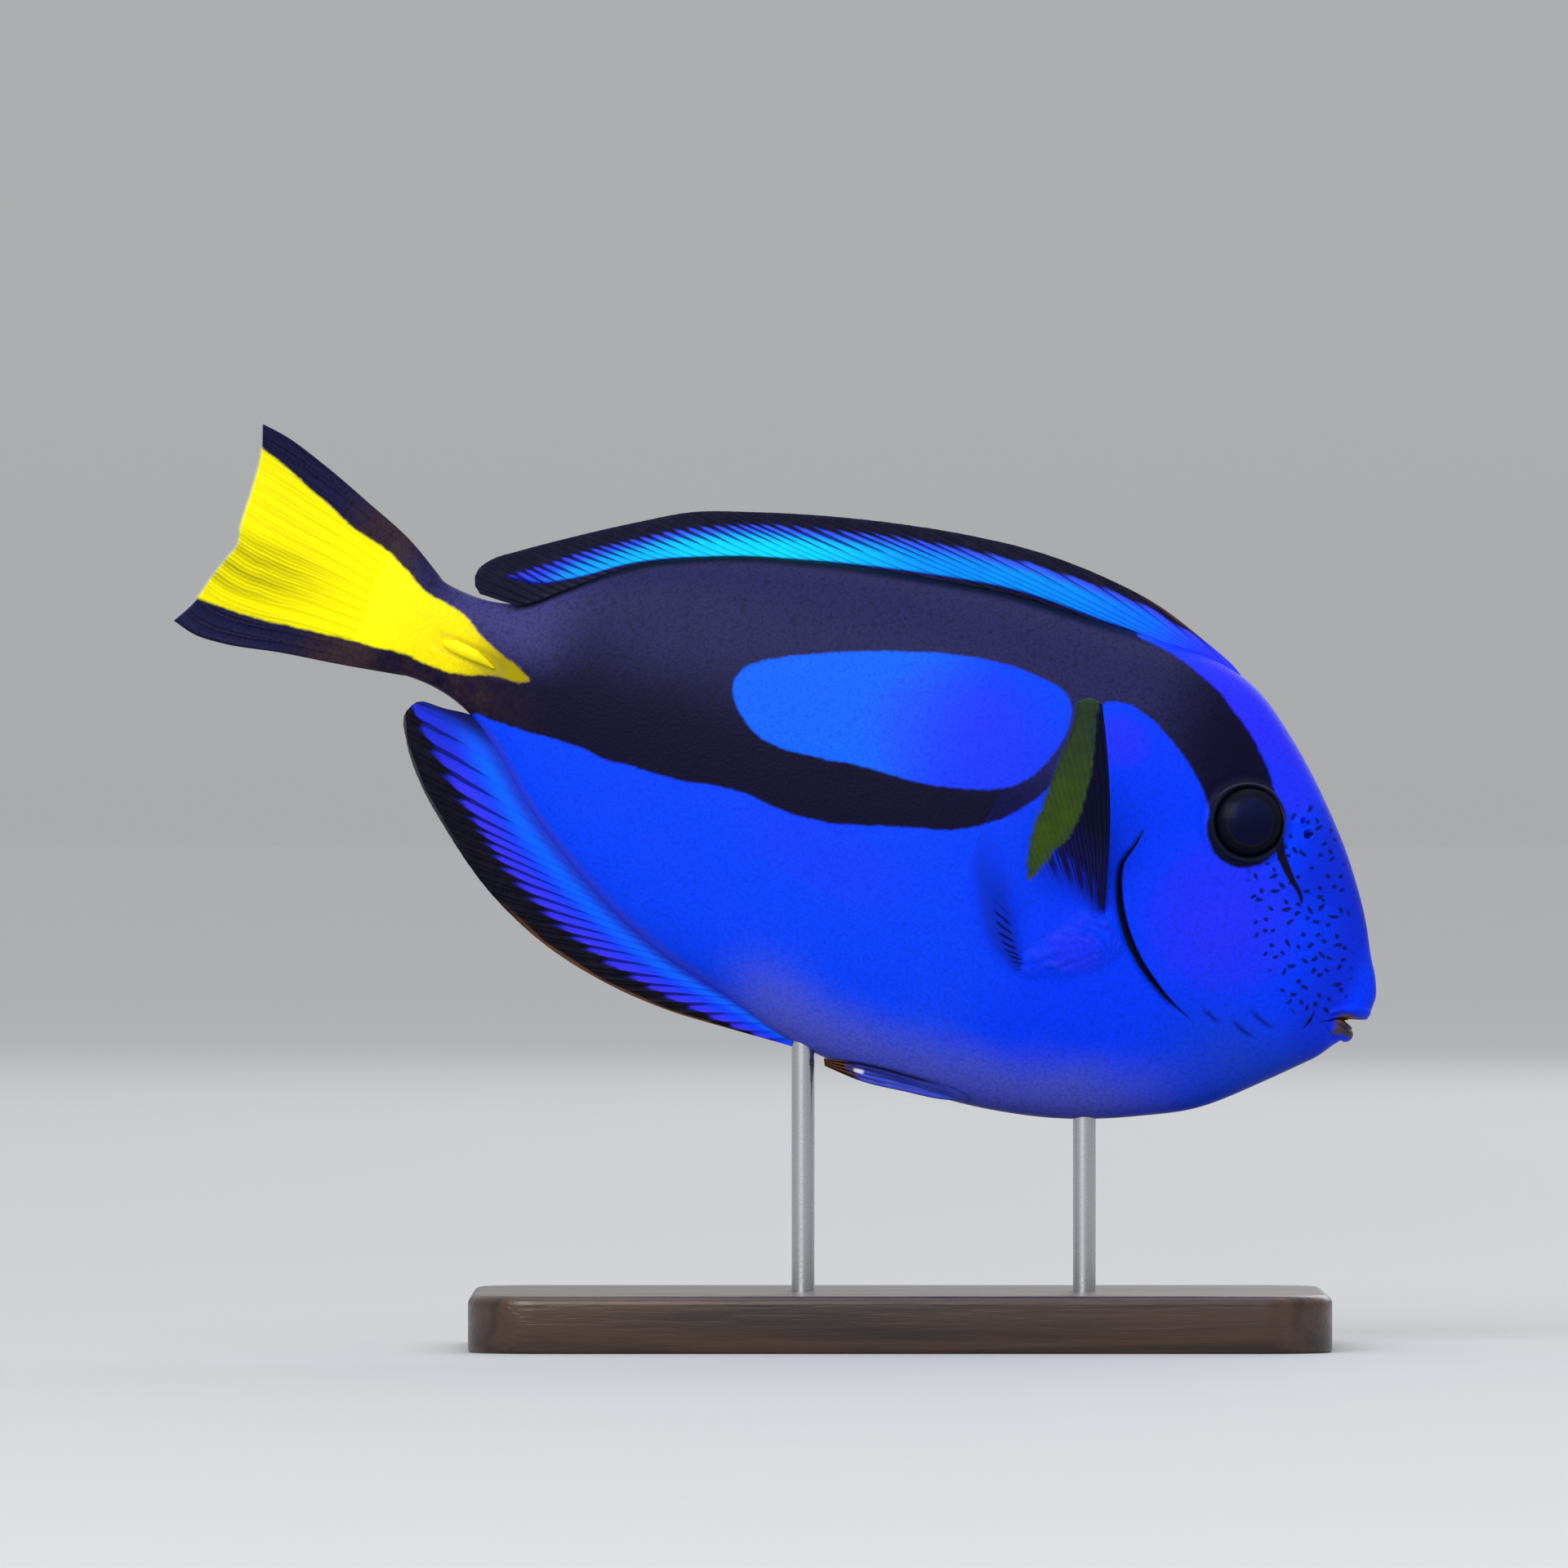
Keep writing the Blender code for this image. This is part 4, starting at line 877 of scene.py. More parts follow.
def skin_fields(s, z):
    """What the skin's colours are drawn from, at stations and heights."""
    slit, _, along = to_segments(route(GILL_SLIT, 60), s, z)
    tear, _, down = to_segments(route(TEAR_STREAK, 12), s, z)
    mouth = to_segments(route(MOUTH_LINE, 30), s, z)[0]
    corner, _, past = to_segments(route(MOUTH_CORNER, 12), s, z)
    # The tear streak is a real mark; the gill slit, mouth line, mouth corner and nostril holes are
    # painted shade
    ink = [smooth(GILL_SLIT_HALF)(along) - slit, 0.7 * (1 - down) + 0.24 - tear,
           smooth(MOUTH_HALF_OPEN)(s) * 0.55 - 0.1 - mouth, 0.42 - 0.6 * abs(past - 0.5) - 1.5 * corner]
    ink += [0.4 * radius - np.hypot(s - station, z - height) for station, height, radius in NOSTRILS]
    back, belly = BACK_AT(s) - z, z - BELLY_AT(s)
    # Painted shade: a thin line along the roots of the dorsal and anal fins
    fin_root_shade = np.maximum(rise(back, 1.9, 0.5) * rise(s, 50, 74) * rise(s, 168, 164),
                          rise(belly, 2.0, 0.6) * rise(s, 100, 112) * rise(s, 166, 158))
    pad, ridges = pad_place(s, z)
    spine = to_segments([p[:2] for p in TAIL_SPINE], s, z)[0]
    # Painted shade in creases and grooves: the pad's edge and ridge troughs, the groove round the tail
    # spine, then the cheek creases
    crease_shading = [0.26 * rise(np.abs(pad), 0.7, 0.1) * rise(z, -6, -12),
               0.26 * rise(np.sin(ridges), 0.1, -1) * rise(pad, 0.3, 1.5),
               0.14 * rise(np.abs(spine - 1.4), 0.6, 0.1)]
    for line in CHEEK_CREASES:
        gap, _, along = to_segments(route(line, 12), s, z)
        crease_shading.append(rise(gap, 0.5, 0.08) * rise(abs(along - 0.5), 0.6, 0.15))
    below = z < np.interp(s, *np.array(MOUTH_LINE).T)
    lips = np.where(below, rise(mouth, 2.9, 2.2), rise(mouth, 1.5, 0.6)) * rise(s, 5.6, 3.6)
    ripples = np.sin(ridges + 1.5 * np.sin(s * 1.9))
    return {
        "station": s, "height": z, "black": np.clip(black_depth(s, z), -12, 12),
        "yellow": np.clip(yellow_depth(s, z), -12, 12), "ink": np.clip(np.max(ink, axis=0), -3, 3),
        "crease": np.max(crease_shading, axis=0), "lips": lips, "fin_root_shade": fin_root_shade,
        # Belly zone, partly its own greyer blue and partly painted light against the shade underneath
        "low": rise(belly, 17, 1) * rise(s, 114, 92) * rise(s, 18, 46) ** 0.6,
        "lip_edge": rise(np.abs(mouth - 0.6), 0.4, 0.1) * rise(s, 5.2, 3.2) * rise(mouth, 0.1, 0.3),
        "freckled": np.clip(depth_inside(closed(FRECKLED, 60), s, z), -4, 4),
        "wavy": rise(ripples, 0.1, 1) * rise(pad, 0.2, 1.4) * rise(s, 61, 57),
        "bare": np.maximum(lips, rise(np.hypot(s - EYE_STATION, z - EYE_HEIGHT), 8.2, 7)),
    }


class TANG_OT_skin(bpy.types.Operator):
    """One skin over the head, jaw, gill covers, trunk and tail base, with both sides' markings"""

    bl_idname = "tang.skin"
    bl_label = "Skin"

    def execute(self, context):
        places, faces = split_skin(*skin_base())
        s, z = places[:, 0], places[:, 2]
        side = np.sign(np.where(np.abs(places[:, 1]) < 0.05, 0, places[:, 1]))
        plain = body_points(s, side, z)
        mesh = bpy.data.meshes.new("fish_skin")
        mesh.from_pydata(plain.tolist(), [], faces)
        normal = np.array([v.normal for v in mesh.vertices])
        if normal[np.argmax(plain[:, 1]), 1] < 0:
            mesh.flip_normals()
            normal = -normal
        flip = np.stack([np.ones_like(side), np.where(side < 0, -1, 1), np.ones_like(side)], 1)
        shaped = shape_skin(plain * flip, normal * flip) * flip
        shaped[side == 0, 1] = 0
        mesh.vertices.foreach_set("co", in_world(shaped).astype(np.float32).ravel())
        mesh.update()
        finish_piece("fish_skin", mesh, FLESH, skin_finish(context.scene.tang_skin),
                     skin_fields(s, z))
        return {"FINISHED"}


def ray_grid(rays, rows, steps=10, start=0.0):
    """Places across a fin and shares of the way from root to margin, as a grid."""
    place = np.linspace(0, 1, (rays - 1) * steps + 1)
    share = start + (1 - start) * np.linspace(0, 1, rows) ** 0.9
    return np.meshgrid(place, share)


def ray_ridge(place, share, rays, branch=0.17):
    """Height of the rays, from 0 to 1. Each one forks on its way to the margin."""
    off = (place * (rays - 1) + 0.5) % 1 - 0.5
    fork = branch * rise(share, 0.4, 0.85)
    width = 0.13 - 0.04 * rise(share, 0.3, 0.9)
    return np.maximum(np.exp(-((off - fork) / width) ** 2), np.exp(-((off + fork) / width) ** 2))


def fin_piece(name, nodes, points, halves, normal, fields, finish):
    """A closed thin sheet about a grid of points. Fields are values on the same grid."""
    offset = halves[..., None] * np.asarray(normal, float)
    both = np.concatenate([(points + offset).reshape(-1, 3), (points - offset).reshape(-1, 3)])
    front = np.arange(halves.size).reshape(halves.shape)
    back = front + halves.size
    rim = np.concatenate([front[:-1, 0], front[-1, :-1], front[:0:-1, -1], front[0, :0:-1]])
    following = np.roll(rim, -1)
    ring = np.stack([rim, following, following + halves.size, rim + halves.size], -1)
    faces = np.concatenate([quads(front), quads(back[:, ::-1]), ring]).tolist()
    doubled = {label: np.tile(np.broadcast_to(values, halves.shape).ravel(), 2)
               for label, values in fields.items()}
    return new_piece(name, in_world(both), faces, nodes, finish, doubled)


def walk(points_mm, shares):
    """Places seen from the side at shares of the way along an outline, as x, 0, z."""
    walked = route(points_mm, 90)
    along = np.linspace(0, 1, 90)
    s, z = (np.interp(shares, along, column) for column in walked.T)
    return np.stack([-s, np.zeros_like(s), z], -1)


def fin_pair(name, points, halves, normal, fields, finish):
    """The same fin on both sides. The points and the normal are the left one's."""
    for side, word in SIDES:
        flip = np.array((1, side, 1))
        fin_piece(f"{name}_rays_{word}", (f"{name}_fin_{word}",), points * flip, halves,
                  normal * flip, fields, finish)


def middle_fin(name, node, rays, roots, line, margin, sweep, blue_ends, finish, fins):
    """The dorsal or anal fin, its rays swept back from the root line to the margin."""
    place, share = ray_grid(rays, 36, start=-0.1)
    root_s = smooth(roots)(place)
    up = math.copysign(1, line(100.0))
    root = np.stack([-root_s, np.zeros_like(root_s), line(root_s) - 0.5 * up], -1)
    ridge = ray_ridge(place, share, rays)
    reach = share * (1 - 0.003 * (1 - ridge) * rise(share, 0.6, 1))
    points = root + (walk(margin, smooth(sweep)(root_s)) - root) * reach[..., None]
    points[..., 2] -= up * 1.2 * np.maximum(share, 0) * (1 - share) ** 2
    relief = fins.ray_relief / MM * np.sin(math.pi * np.clip(0.2 + 0.72 * share, 0, 1)) ** 0.6
    halves = 0.2 + 0.45 * np.exp(-np.maximum(share, 0) / 0.13) + relief * ridge * (share < 0.999)
    s, z = -points[..., 0], points[..., 2]
    rising = np.array(margin)[:np.argmax(np.array(margin)[:, 0]) + 1]
    level = (z - line(s)) / (np.interp(s, *rising.T) - line(s))
    level = np.clip(np.where(share < 0, share, level), -0.5, 1.5)
    fields = {"ray": place * (rays - 1), "share": share, "station": s, "level": level,
              "edge": level - smooth(blue_ends)(s), "start": level - smooth(DORSAL_BLUE_STARTS)(s)}
    fin_piece(name, (node,), points, halves, (0, 1, 0), fields, finish(fins))


def to_ray(f):
    """How far a place is from the nearest ray, from 0 on it to 1 half way to the next."""
    return abs((f.field("ray") + 0.5 + f.noise(6) * 0.04).rest() - 0.5) * 2


def streaked(f, reach, width, fringe):
    """Shares of a fin's dark margin and of the dark streaks that run down its rays from there."""
    on_ray = 1 - to_ray(f)
    edge = f.field("edge") + f.noise(1.5) * 0.014
    margin = (edge + (on_ray - 0.5) * fringe).rise(-0.05, 0.04)
    streak = ((on_ray - 1) / width + 1).higher(0) ** 0.5
    return margin, (edge + streak * (reach + f.noise(9) * 0.06)).rise(-0.05, 0.06)


def ray_relief(f):
    """Faint joints along the rays, as relief in metres."""
    on_ray = to_ray(f).rise(0.6, 0.1)
    return (f.field("share") * 260).sine() * on_ray * 0.000012 + f.noise(0.7, 3) * 0.00001


def blotched(f, first, second):
    """A dark margin's tone, blotched and paler on its rays."""
    return f.mix((f.noise(2.2, 4) * 0.3 + to_ray(f) * 0.15).higher(0), first, second)


def dorsal_finish(fins):
    """Cyan to violet stripe with slanting dark streaks and a black margin."""
    f = Finish("dorsal_membrane", roughness=0.4, **SATIN)
    station, level, edge, root = f.fields("station", "level", "edge", "start")
    blue = f.coat(
        srgb(8, 112, 250),
        (station.rise(56, 84), srgb(5, 148, 248)),
        (station.rise(98, 124), fins.cyan),
        (station.rise(134, 158), srgb(14, 164, 246)),
        (station.rise(156, 164), srgb(40, 84, 226)),
        (station.rise(64, 48), srgb(50, 62, 247)),
        (level.rise(0.3, 0.62) * station.rise(92, 120) * 0.7, srgb(20, 92, 240)),
        (edge.rise(-0.26, -0.04) * 0.75, srgb(62, 54, 240)),
        (f.noise(2.5, 3) * 0.1 + 0.08, srgb(20, 70, 240)))
    rear = station.rise(78, 118)
    margin, tongues = streaked(f, 0.3 + rear * 0.14, 0.22 + rear * 0.3, 0.05 + rear * 0.1)
    brown = station.rise(66, 56) * station.rise(44, 48) * level.rise(0.93, 0.98)
    shown = f.coat(
        blue,
        (tongues * (0.7 + rear * 0.15), srgb(6, 18, 112)),
        # Painted shade: a dark blue line where the fin folds at its root
        (root.rise(0.07, 0.0) * station.rise(46, 66), srgb(2, 10, 120)),
        (margin.higher(root.rise(0.02, -0.03)), blotched(f, fins.margin, srgb(40, 36, 62))),
        (brown * 0.6, srgb(110, 70, 70)))
    return f.surface(base_color=shown, relief=ray_relief(f))


def anal_finish(fins):
    """Blue fingers between dark rays, an azure stripe at their roots and a black margin."""
    f = Finish("anal_membrane", roughness=0.4, **SATIN)
    station, level, edge, ray = f.fields("station", "level", "edge", "ray")
    margin, tongues = streaked(f, 0.4, 0.36, 0.14)
    margin = margin.higher(ray.rise(fins.anal_rays - 2.6, fins.anal_rays - 1.5) * 0.85)
    rim = level.rise(0.955, 0.985)
    dark = f.coat(
        blotched(f, toned(fins.margin, 0.3), srgb(28, 24, 40)),
        (rim * station.rise(150, 138) * station.rise(96, 104) * 0.75, srgb(104, 66, 38)),
        (rim * station.rise(156, 166) * 0.4, srgb(90, 90, 98)))
    shown = f.coat(
        fins.blue,
        (level.rise(0.18, 0.42), srgb(18, 62, 250)),
        (edge.rise(-0.35, -0.05) * 0.8, srgb(62, 46, 232)),
        (level.rise(0.2, 0.02) * station.rise(96, 110), srgb(26, 62, 200)),
        (station.rise(158, 169) * 0.85, srgb(28, 44, 204)),
        (tongues * (1 - station.rise(110, 96) * 0.4) * 0.88, srgb(5, 18, 108)),
        (margin, dark))
    return f.surface(base_color=shown, relief=ray_relief(f))


class TANG_OT_middle_fins(bpy.types.Operator):
    """The dorsal and anal fins, half folded, with forked rays and dark margins"""

    bl_idname = "tang.middle_fins"
    bl_label = "Dorsal and anal fins"

    def execute(self, context):
        fins = context.scene.tang_fins
        middle_fin("dorsal_rays", "dorsal_fin", fins.dorsal_rays, DORSAL_RAY_ROOTS, BACK_AT,
                   DORSAL_MARGIN, DORSAL_SWEEP, DORSAL_BLUE_ENDS, dorsal_finish, fins)
        middle_fin("anal_rays", "anal_fin", fins.anal_rays, ANAL_RAY_ROOTS, BELLY_AT,
                   ANAL_MARGIN, ANAL_SWEEP, ANAL_BLUE_ENDS, anal_finish, fins)
        return {"FINISHED"}


def caudal_finish(skin, fins):
    """Yellow with black upper and lower lobes, fine ray lines and a clear rear edge."""
    f = Finish("tail_membrane", roughness=0.42, **SATIN)
    share, ray = f.fields("share", "ray")
    jitter, blur = edge_jitter(f), skin.edge_blur / MM
    scales = f.cells(skin.scale_size / MM)
    fork = abs(to_ray(f) - 0.34).rise(0.3, 0.05) * share.rise(0.3, 0.7)
    fine = (ray * 24 + f.noise(4) * 2).wave() * share.rise(0.2, 0.8)
    broad = (ray * 5.3 + f.noise(9) * 1.5).wave()
    # Painted shade: darker olive streaks along the tail's pleat near the kink of its rear edge; the
    # other lines are the rays
    fold = ray - 9.6 + (1 - share) * 2.5
    fold = (fold * fold).rise(7, 0.4) * share.rise(0.3, 0.8)
    lines = fork * 0.12 + fine * 0.12 + broad * share.rise(0.4, 1) * 0.08
    lines = lines + fold * (broad * 0.3 + fine * 0.3 + 0.06)
    clear = share.rise(0.986, 0.995)
    yellow = f.mix(lines.higher(0), yellow_tone(f, skin, scales), srgb(150, 140, 4))
    shown = f.coat(
        black_tone(f, skin, scales),
        (fork * 0.3 + fine * 0.25, srgb(6, 5, 16)),
        ((f.field("yellow") + jitter).rise(-blur, blur), yellow),
        (clear * 0.8, srgb(196, 204, 214)))
    return f.surface(base_color=shown, alpha=1 - clear * 0.5, relief=ray_relief(f))


class TANG_OT_tail_fin(bpy.types.Operator):
    """The tail fin, its root under the skin of the tail base"""

    bl_idname = "tang.tail_fin"
    bl_label = "Tail fin"

    def execute(self, context):
        fins = context.scene.tang_fins
        place, share = ray_grid(fins.caudal_rays, 46, steps=14)
        root_x = -CAUDAL_ROOT_STATION
        trailing = walk(CAUDAL_TRAILING, place)[..., 0]
        ridge = ray_ridge(place, share, fins.caudal_rays)
        top, bottom = walk(CAUDAL_UPPER, share)[..., 2], walk(CAUDAL_LOWER, share)[..., 2]
        wave = CAUDAL_WAVE * share ** 2 * np.sin(math.tau * 1.25 * place)
        fold = 0.5 * rise(share, 0.5, 1) * np.exp(-((place - 0.5) / 0.02) ** 2)
        points = np.stack([root_x + (trailing - root_x) * share, wave - fold,
                           top + (bottom - top) * place], -1)
        rounding = np.sqrt(np.clip(np.minimum(place, 1 - place) / 0.012, 0.08, 1))
        relief = fins.ray_relief / MM * 0.8 * rise(share, 0.1, 0.35) * rise(share, 1, 0.8)
        halves = (0.42 - 0.22 * share) * rounding + relief * ridge * rounding
        s, z = -points[..., 0], points[..., 2]
        fields = {"ray": place * (fins.caudal_rays - 1), "share": share, "station": s, "height": z,
                  "yellow": np.clip(yellow_depth(s, z), -12, 12)}
        fin_piece("tail_fin_rays", ("caudal_fin",), points, halves, (0, 1, 0), fields,
                  caudal_finish(context.scene.tang_skin, fins))
        return {"FINISHED"}


def pectoral_points(place, share):
    """Points of the left pectoral fin."""
    lead, trail = PECTORAL_LEAN
    root = walk(PECTORAL_ROOT, place)
    root[..., 1] = half_width(-root[..., 0], root[..., 2])
    end = walk(PECTORAL_MARGIN, place)
    seen = np.hypot(end[..., 0] - root[..., 0], end[..., 2] - root[..., 2])
    end[..., 1] = root[..., 1] + seen * np.tan(lead + (trail - lead) * place ** 1.3)
    middle = 4 * share * (1 - share)
    forward = PECTORAL_BOW_FORWARD * middle * np.maximum(0, 1 - 1.6 * place)
    bow = np.stack([forward * math.cos(PITCH), -PECTORAL_BOW_OUT * middle,
                    forward * math.sin(PITCH)], -1)
    out = root + (end - root) * share[..., None] + bow
    sunk = root - np.stack([share * 0, np.maximum(-share, 0) * PECTORAL_SUNK, share * 0], -1)
    return np.where(share[..., None] < 0, sunk, out)


def pectoral_finish(skin, fins):
    """Black leading rays, a yellow patch and a clear blue rear part."""
    f = Finish("pectoral_membrane", roughness=0.4, **SATIN)
    share, ray, height = f.fields("share", "ray", "height")
    between = abs((ray + 0.5).rest() - 0.5)
    fine = (ray * 19 + f.noise(5)).wave()
    streak = between.rise(0.34, 0.08).higher(fine)
    patch = (f.field("patch") + f.noise(1.6) * 0.25 - fine * 0.12).rise(-0.7, 0.8)
    ahead = f.field("ahead").rise(-0.8, 0.5)
    low = height - ray.rise(0, 5) * 3.5
    first_ray = ray.rise(1.1, 0.6) * height.rise(-6, -3)
    dark = low.rise(-4, 2).higher(streak * low.rise(-9, -1), first_ray) * ahead
    blue = f.mix(f.noise(4) * 0.3 + 0.4, skin.blue, skin.violet)
    black = f.coat(srgb(7, 12, 30), (fine * 0.5, srgb(20, 18, 66)),
                   (low.rise(9, 1) * fine, srgb(24, 22, 96)))
    out = share + ray * 0.0929 - 1.5
    # Painted shadow: a dark blue smudge across the rear rays toward the lower root, hatched with dark
    # streaks
    fin_base_shadow = (out + 0.14).rise(-0.06, 0.08) * (out - 0.3).rise(0.12, -0.12) * ray.rise(6.5, 9.5) * 0.5
    hatch = (ray * 12.6 + f.noise(3) * 0.6).sine().rise(-0.3, 0.8)
    hatch = hatch * abs(out).rise(0.17, 0.06) * ray.rise(8, 10.5)
    olive = f.coat(fins.olive, (height.rise(8, 26) * 0.7, srgb(46, 58, 50)),
                   (fine * 0.3 + f.noise(2.5, 3) * 0.3 + 0.05, srgb(34, 56, 40)))
    shown = f.coat(
        blue,
        ((dark * 1.6).lower(1), black),
        # The painted shadow with its hatching
        (fin_base_shadow.higher(hatch), f.mix(hatch, srgb(8, 56, 158), srgb(4, 18, 82))),
        ((patch * 2.4).lower(1), olive))
    # The painted shadow and its hatching are made opaque too
    alpha = dark.higher(patch, share.rise(0.05, 0) * 0.3, hatch * 0.85, fin_base_shadow, 0.008 + streak * 0.02)
    return f.surface(base_color=shown, alpha=alpha.lower(1), relief=ray_relief(f))


class TANG_OT_pectoral_fins(bpy.types.Operator):
    """The pair of raised fins behind the gills"""

    bl_idname = "tang.pectoral_fins"
    bl_label = "Pectoral fins"

    def execute(self, context):
        fins = context.scene.tang_fins
        place, share = ray_grid(fins.pectoral_rays, 48, steps=10, start=0)
        place = np.vstack([place[:1], place])
        share = np.vstack([share[:1] - 1, share])
        points = pectoral_points(place, share)
        share = np.maximum(share, 0)
        slope = walk(PECTORAL_ROOT, np.array(1.0)) - walk(PECTORAL_ROOT, np.array(0.0))
        slope[1] = half_width(*PECTORAL_ROOT[-1]) - half_width(*PECTORAL_ROOT[0])
        normal = np.cross(points[-1, 0] - points[1, 0], slope)
        normal /= np.linalg.norm(normal)
        ridge = ray_ridge(place, share, fins.pectoral_rays) * rise(share, 1.02, 0.9)
        halves = 0.12 + 0.1 * np.exp(-share / 0.08) + fins.ray_relief / MM * 0.75 * ridge
        s, z = -points[..., 0], points[..., 2]
        patch = depth_inside(route(PECTORAL_YELLOW, 70), s, z)
        ahead = np.interp(z, *np.array(PECTORAL_BLACK_ENDS).T) - s
        fields = {"ray": place * (fins.pectoral_rays - 1), "share": share, "height": z,
                  "patch": np.clip(patch, -6, 6), "ahead": np.clip(ahead, -6, 6)}
        finish = pectoral_finish(context.scene.tang_skin, fins)
        fin_pair("pectoral", points, halves, normal, fields, finish)
        return {"FINISHED"}


def pelvic_finish(skin, fins):
    """Blue membrane with a dark edge, brown tips and a pale spot."""
    f = Finish("pelvic_membrane", roughness=0.4, **SATIN)
    share, place = f.fields("share", "place")
    fine = (place * 26 + f.noise(3) * 0.6).sine()
    dark = place.rise(0.26, 0.04) * share.rise(0.05, 0.4)
    shown = f.coat(
        srgb(44, 64, 190),
        (f.noise(3) * 0.3 + 0.5, skin.belly),
        (dark.higher(fine.rise(0.1, 1) * share.rise(0.2, 0.75) * 0.8), srgb(12, 10, 26)),
        ((share + f.noise(1.5) * 0.05 + place * 0.08).rise(0.78, 0.9),
         f.mix(fine.rise(-0.1, 0.9), srgb(12, 8, 8), fins.pelvic_tip)),
        (abs(share - 0.76).rise(0.045, 0.02) * abs(place - 0.5).rise(0.16, 0.06), srgb(214, 210, 220)))
    return f.surface(base_color=shown, relief=ray_relief(f))


class TANG_OT_pelvic_fins(bpy.types.Operator):
    """The small pair of fins folded back along the belly"""

    bl_idname = "tang.pelvic_fins"
    bl_label = "Pelvic fins"

    def execute(self, context):
        rays = 4
        place, share = ray_grid(rays, 44, steps=12)
        upper, lower = walk(PELVIC_UPPER, share), walk(PELVIC_LOWER, share)
        points = upper + (lower - upper) * place[..., None]
        half = 0.55 - 0.35 * share
        s = -points[..., 0]
        held = np.maximum(points[..., 2], BELLY_AT(s) + 0.5)
        points[..., 1] = half_width(s, held) + half + PELVIC_CLEARANCE
        rounding = np.sqrt(np.clip(np.minimum(place, 1 - place) / 0.08, 0.1, 1))
        halves = half * rounding * (0.7 + 0.3 * ray_ridge(place, share, rays, 0.1))
        fields = {"ray": place * (rays - 1), "share": share, "place": place}
        finish = pelvic_finish(context.scene.tang_skin, context.scene.tang_fins)
        fin_pair("pelvic", points, halves, np.array((0, 0.94, 0.34)), fields, finish)
        return {"FINISHED"}


def eye_finish(look):
    """A wet eye with a blue-black pupil in a dark, finely streaked iris."""
    f = Finish("eye", roughness=0.34, specular_ior_level=0.04, coat_weight=0.025, coat_roughness=0.08)
    radius, turn = f.fields("radius", "turn")
    edge = look.pupil_radius / MM
    streaks = (turn * 60).sine() * 0.4 + f.noise(0.8, 4) * 0.8
    iris = f.coat(look.iris, (streaks.rise(-1, 1), toned(look.iris, 1.9)),
                  (abs(radius - edge - 0.2).rise(0.3, 0.05) * 0.4, srgb(30, 26, 40)),
                  (radius.rise(5.2, 6.1), srgb(6, 6, 12)))
    pupil = f.mix(radius.rise(edge * 1.1, 0) * 0.7, look.pupil, srgb(5, 8, 26))
    # Painted reflection: a soft bluish sheen on the upper part of the eye
    sheen = f.field("upper") * radius.rise(6.2, 2) * (0.8 + f.noise(2) * 0.3)
    return f.surface(base_color=f.coat(
        pupil, ((radius + f.noise(0.5) * 0.03).rise(edge - 0.1, edge + 0.1), iris),
        (sheen.higher(0) * 0.7, srgb(18, 26, 66))))


class TANG_OT_eyes(bpy.types.Operator):
    """Two domed eyes in their sockets"""

    bl_idname = "tang.eyes"
    bl_label = "Eyes"

    def execute(self, context):
        finish = eye_finish(context.scene.tang_eyes)
        middle, out = eye_place()
        for side, word in SIDES:
            flip = Vector((1, side, 1))
            turn = (Vector(out) * flip).to_track_quat("Z", "Y").to_matrix().to_4x4()
            size = Matrix.Diagonal((EYE_RADIUS, EYE_RADIUS, EYE_HALF_DEPTH, 1))
            form = bmesh.new()
            bmesh.ops.create_uvsphere(form, u_segments=96, v_segments=64, radius=1)
            unit = np.array([v.co for v in form.verts])
            form.transform(TO_WORLD @ Matrix.Translation(Vector(middle) * flip) @ turn @ size)
            mesh = freed(f"eyeball_{word}", form)
            fields = {"radius": np.hypot(unit[:, 0], unit[:, 1]) * EYE_RADIUS,
                      "turn": np.abs(np.arctan2(unit[:, 1], unit[:, 0])),
                      "upper": rise(np.array([v.co.z for v in mesh.vertices]) / MM, 90, 96)}
            finish_piece(f"eyeball_{word}", mesh, (f"eye_{word}",), finish, fields)
        return {"FINISHED"}


class TANG_OT_tail_spines(bpy.types.Operator):
    """The folded blade on each side of the tail base, its point forward"""

    bl_idname = "tang.tail_spines"
    bl_label = "Tail spines"

    def execute(self, context):
        skin = context.scene.tang_skin
        f = Finish("tail_spine", roughness=0.38, specular_ior_level=0.12)
        tone = f.field("share").rise(0.1, 0.9) * 0.5 + f.noise(1.5, 3) * 0.12
        shown = f.mix(tone.higher(0), skin.yellow, srgb(206, 186, 24))
        finish = f.surface(base_color=shown, relief=f.noise(0.5, 3) * 0.00001)
        shares = np.linspace(0, 1, 40)
        line = np.array([np.interp(shares, np.linspace(0, 1, len(TAIL_SPINE)), column)
                         for column in np.array(TAIL_SPINE).T]).T
        angle = np.linspace(0, math.tau, 28, endpoint=False)
        s = np.repeat(line[:, :1], len(angle), 1)
        z = line[:, 1:2] + line[:, 2:] * np.cos(angle)
        thick = TAIL_SPINE_THICKNESS * np.minimum(1, line[:, 2:])
        edge = np.sign(np.sin(angle)) * np.abs(np.sin(angle)) ** 0.8
        lift = thick * np.where(edge > 0, edge, 0.3 * edge)
        points = np.stack([-s, half_width(s, z) + 0.2 + lift, z], -1).reshape(-1, 3)
        grid = np.arange(s.size).reshape(s.shape)
        faces = quads(np.hstack([grid, grid[:, :1]])).tolist()
        faces += [grid[0].tolist(), grid[-1, ::-1].tolist()]
        fields = {"share": np.repeat(shares, len(angle))}
        for side, word in SIDES:
            new_piece(f"spine_blade_{word}", in_world(points * (1, side, 1)), faces,
                      (f"tail_spine_{word}",), finish, fields)
        return {"FINISHED"}


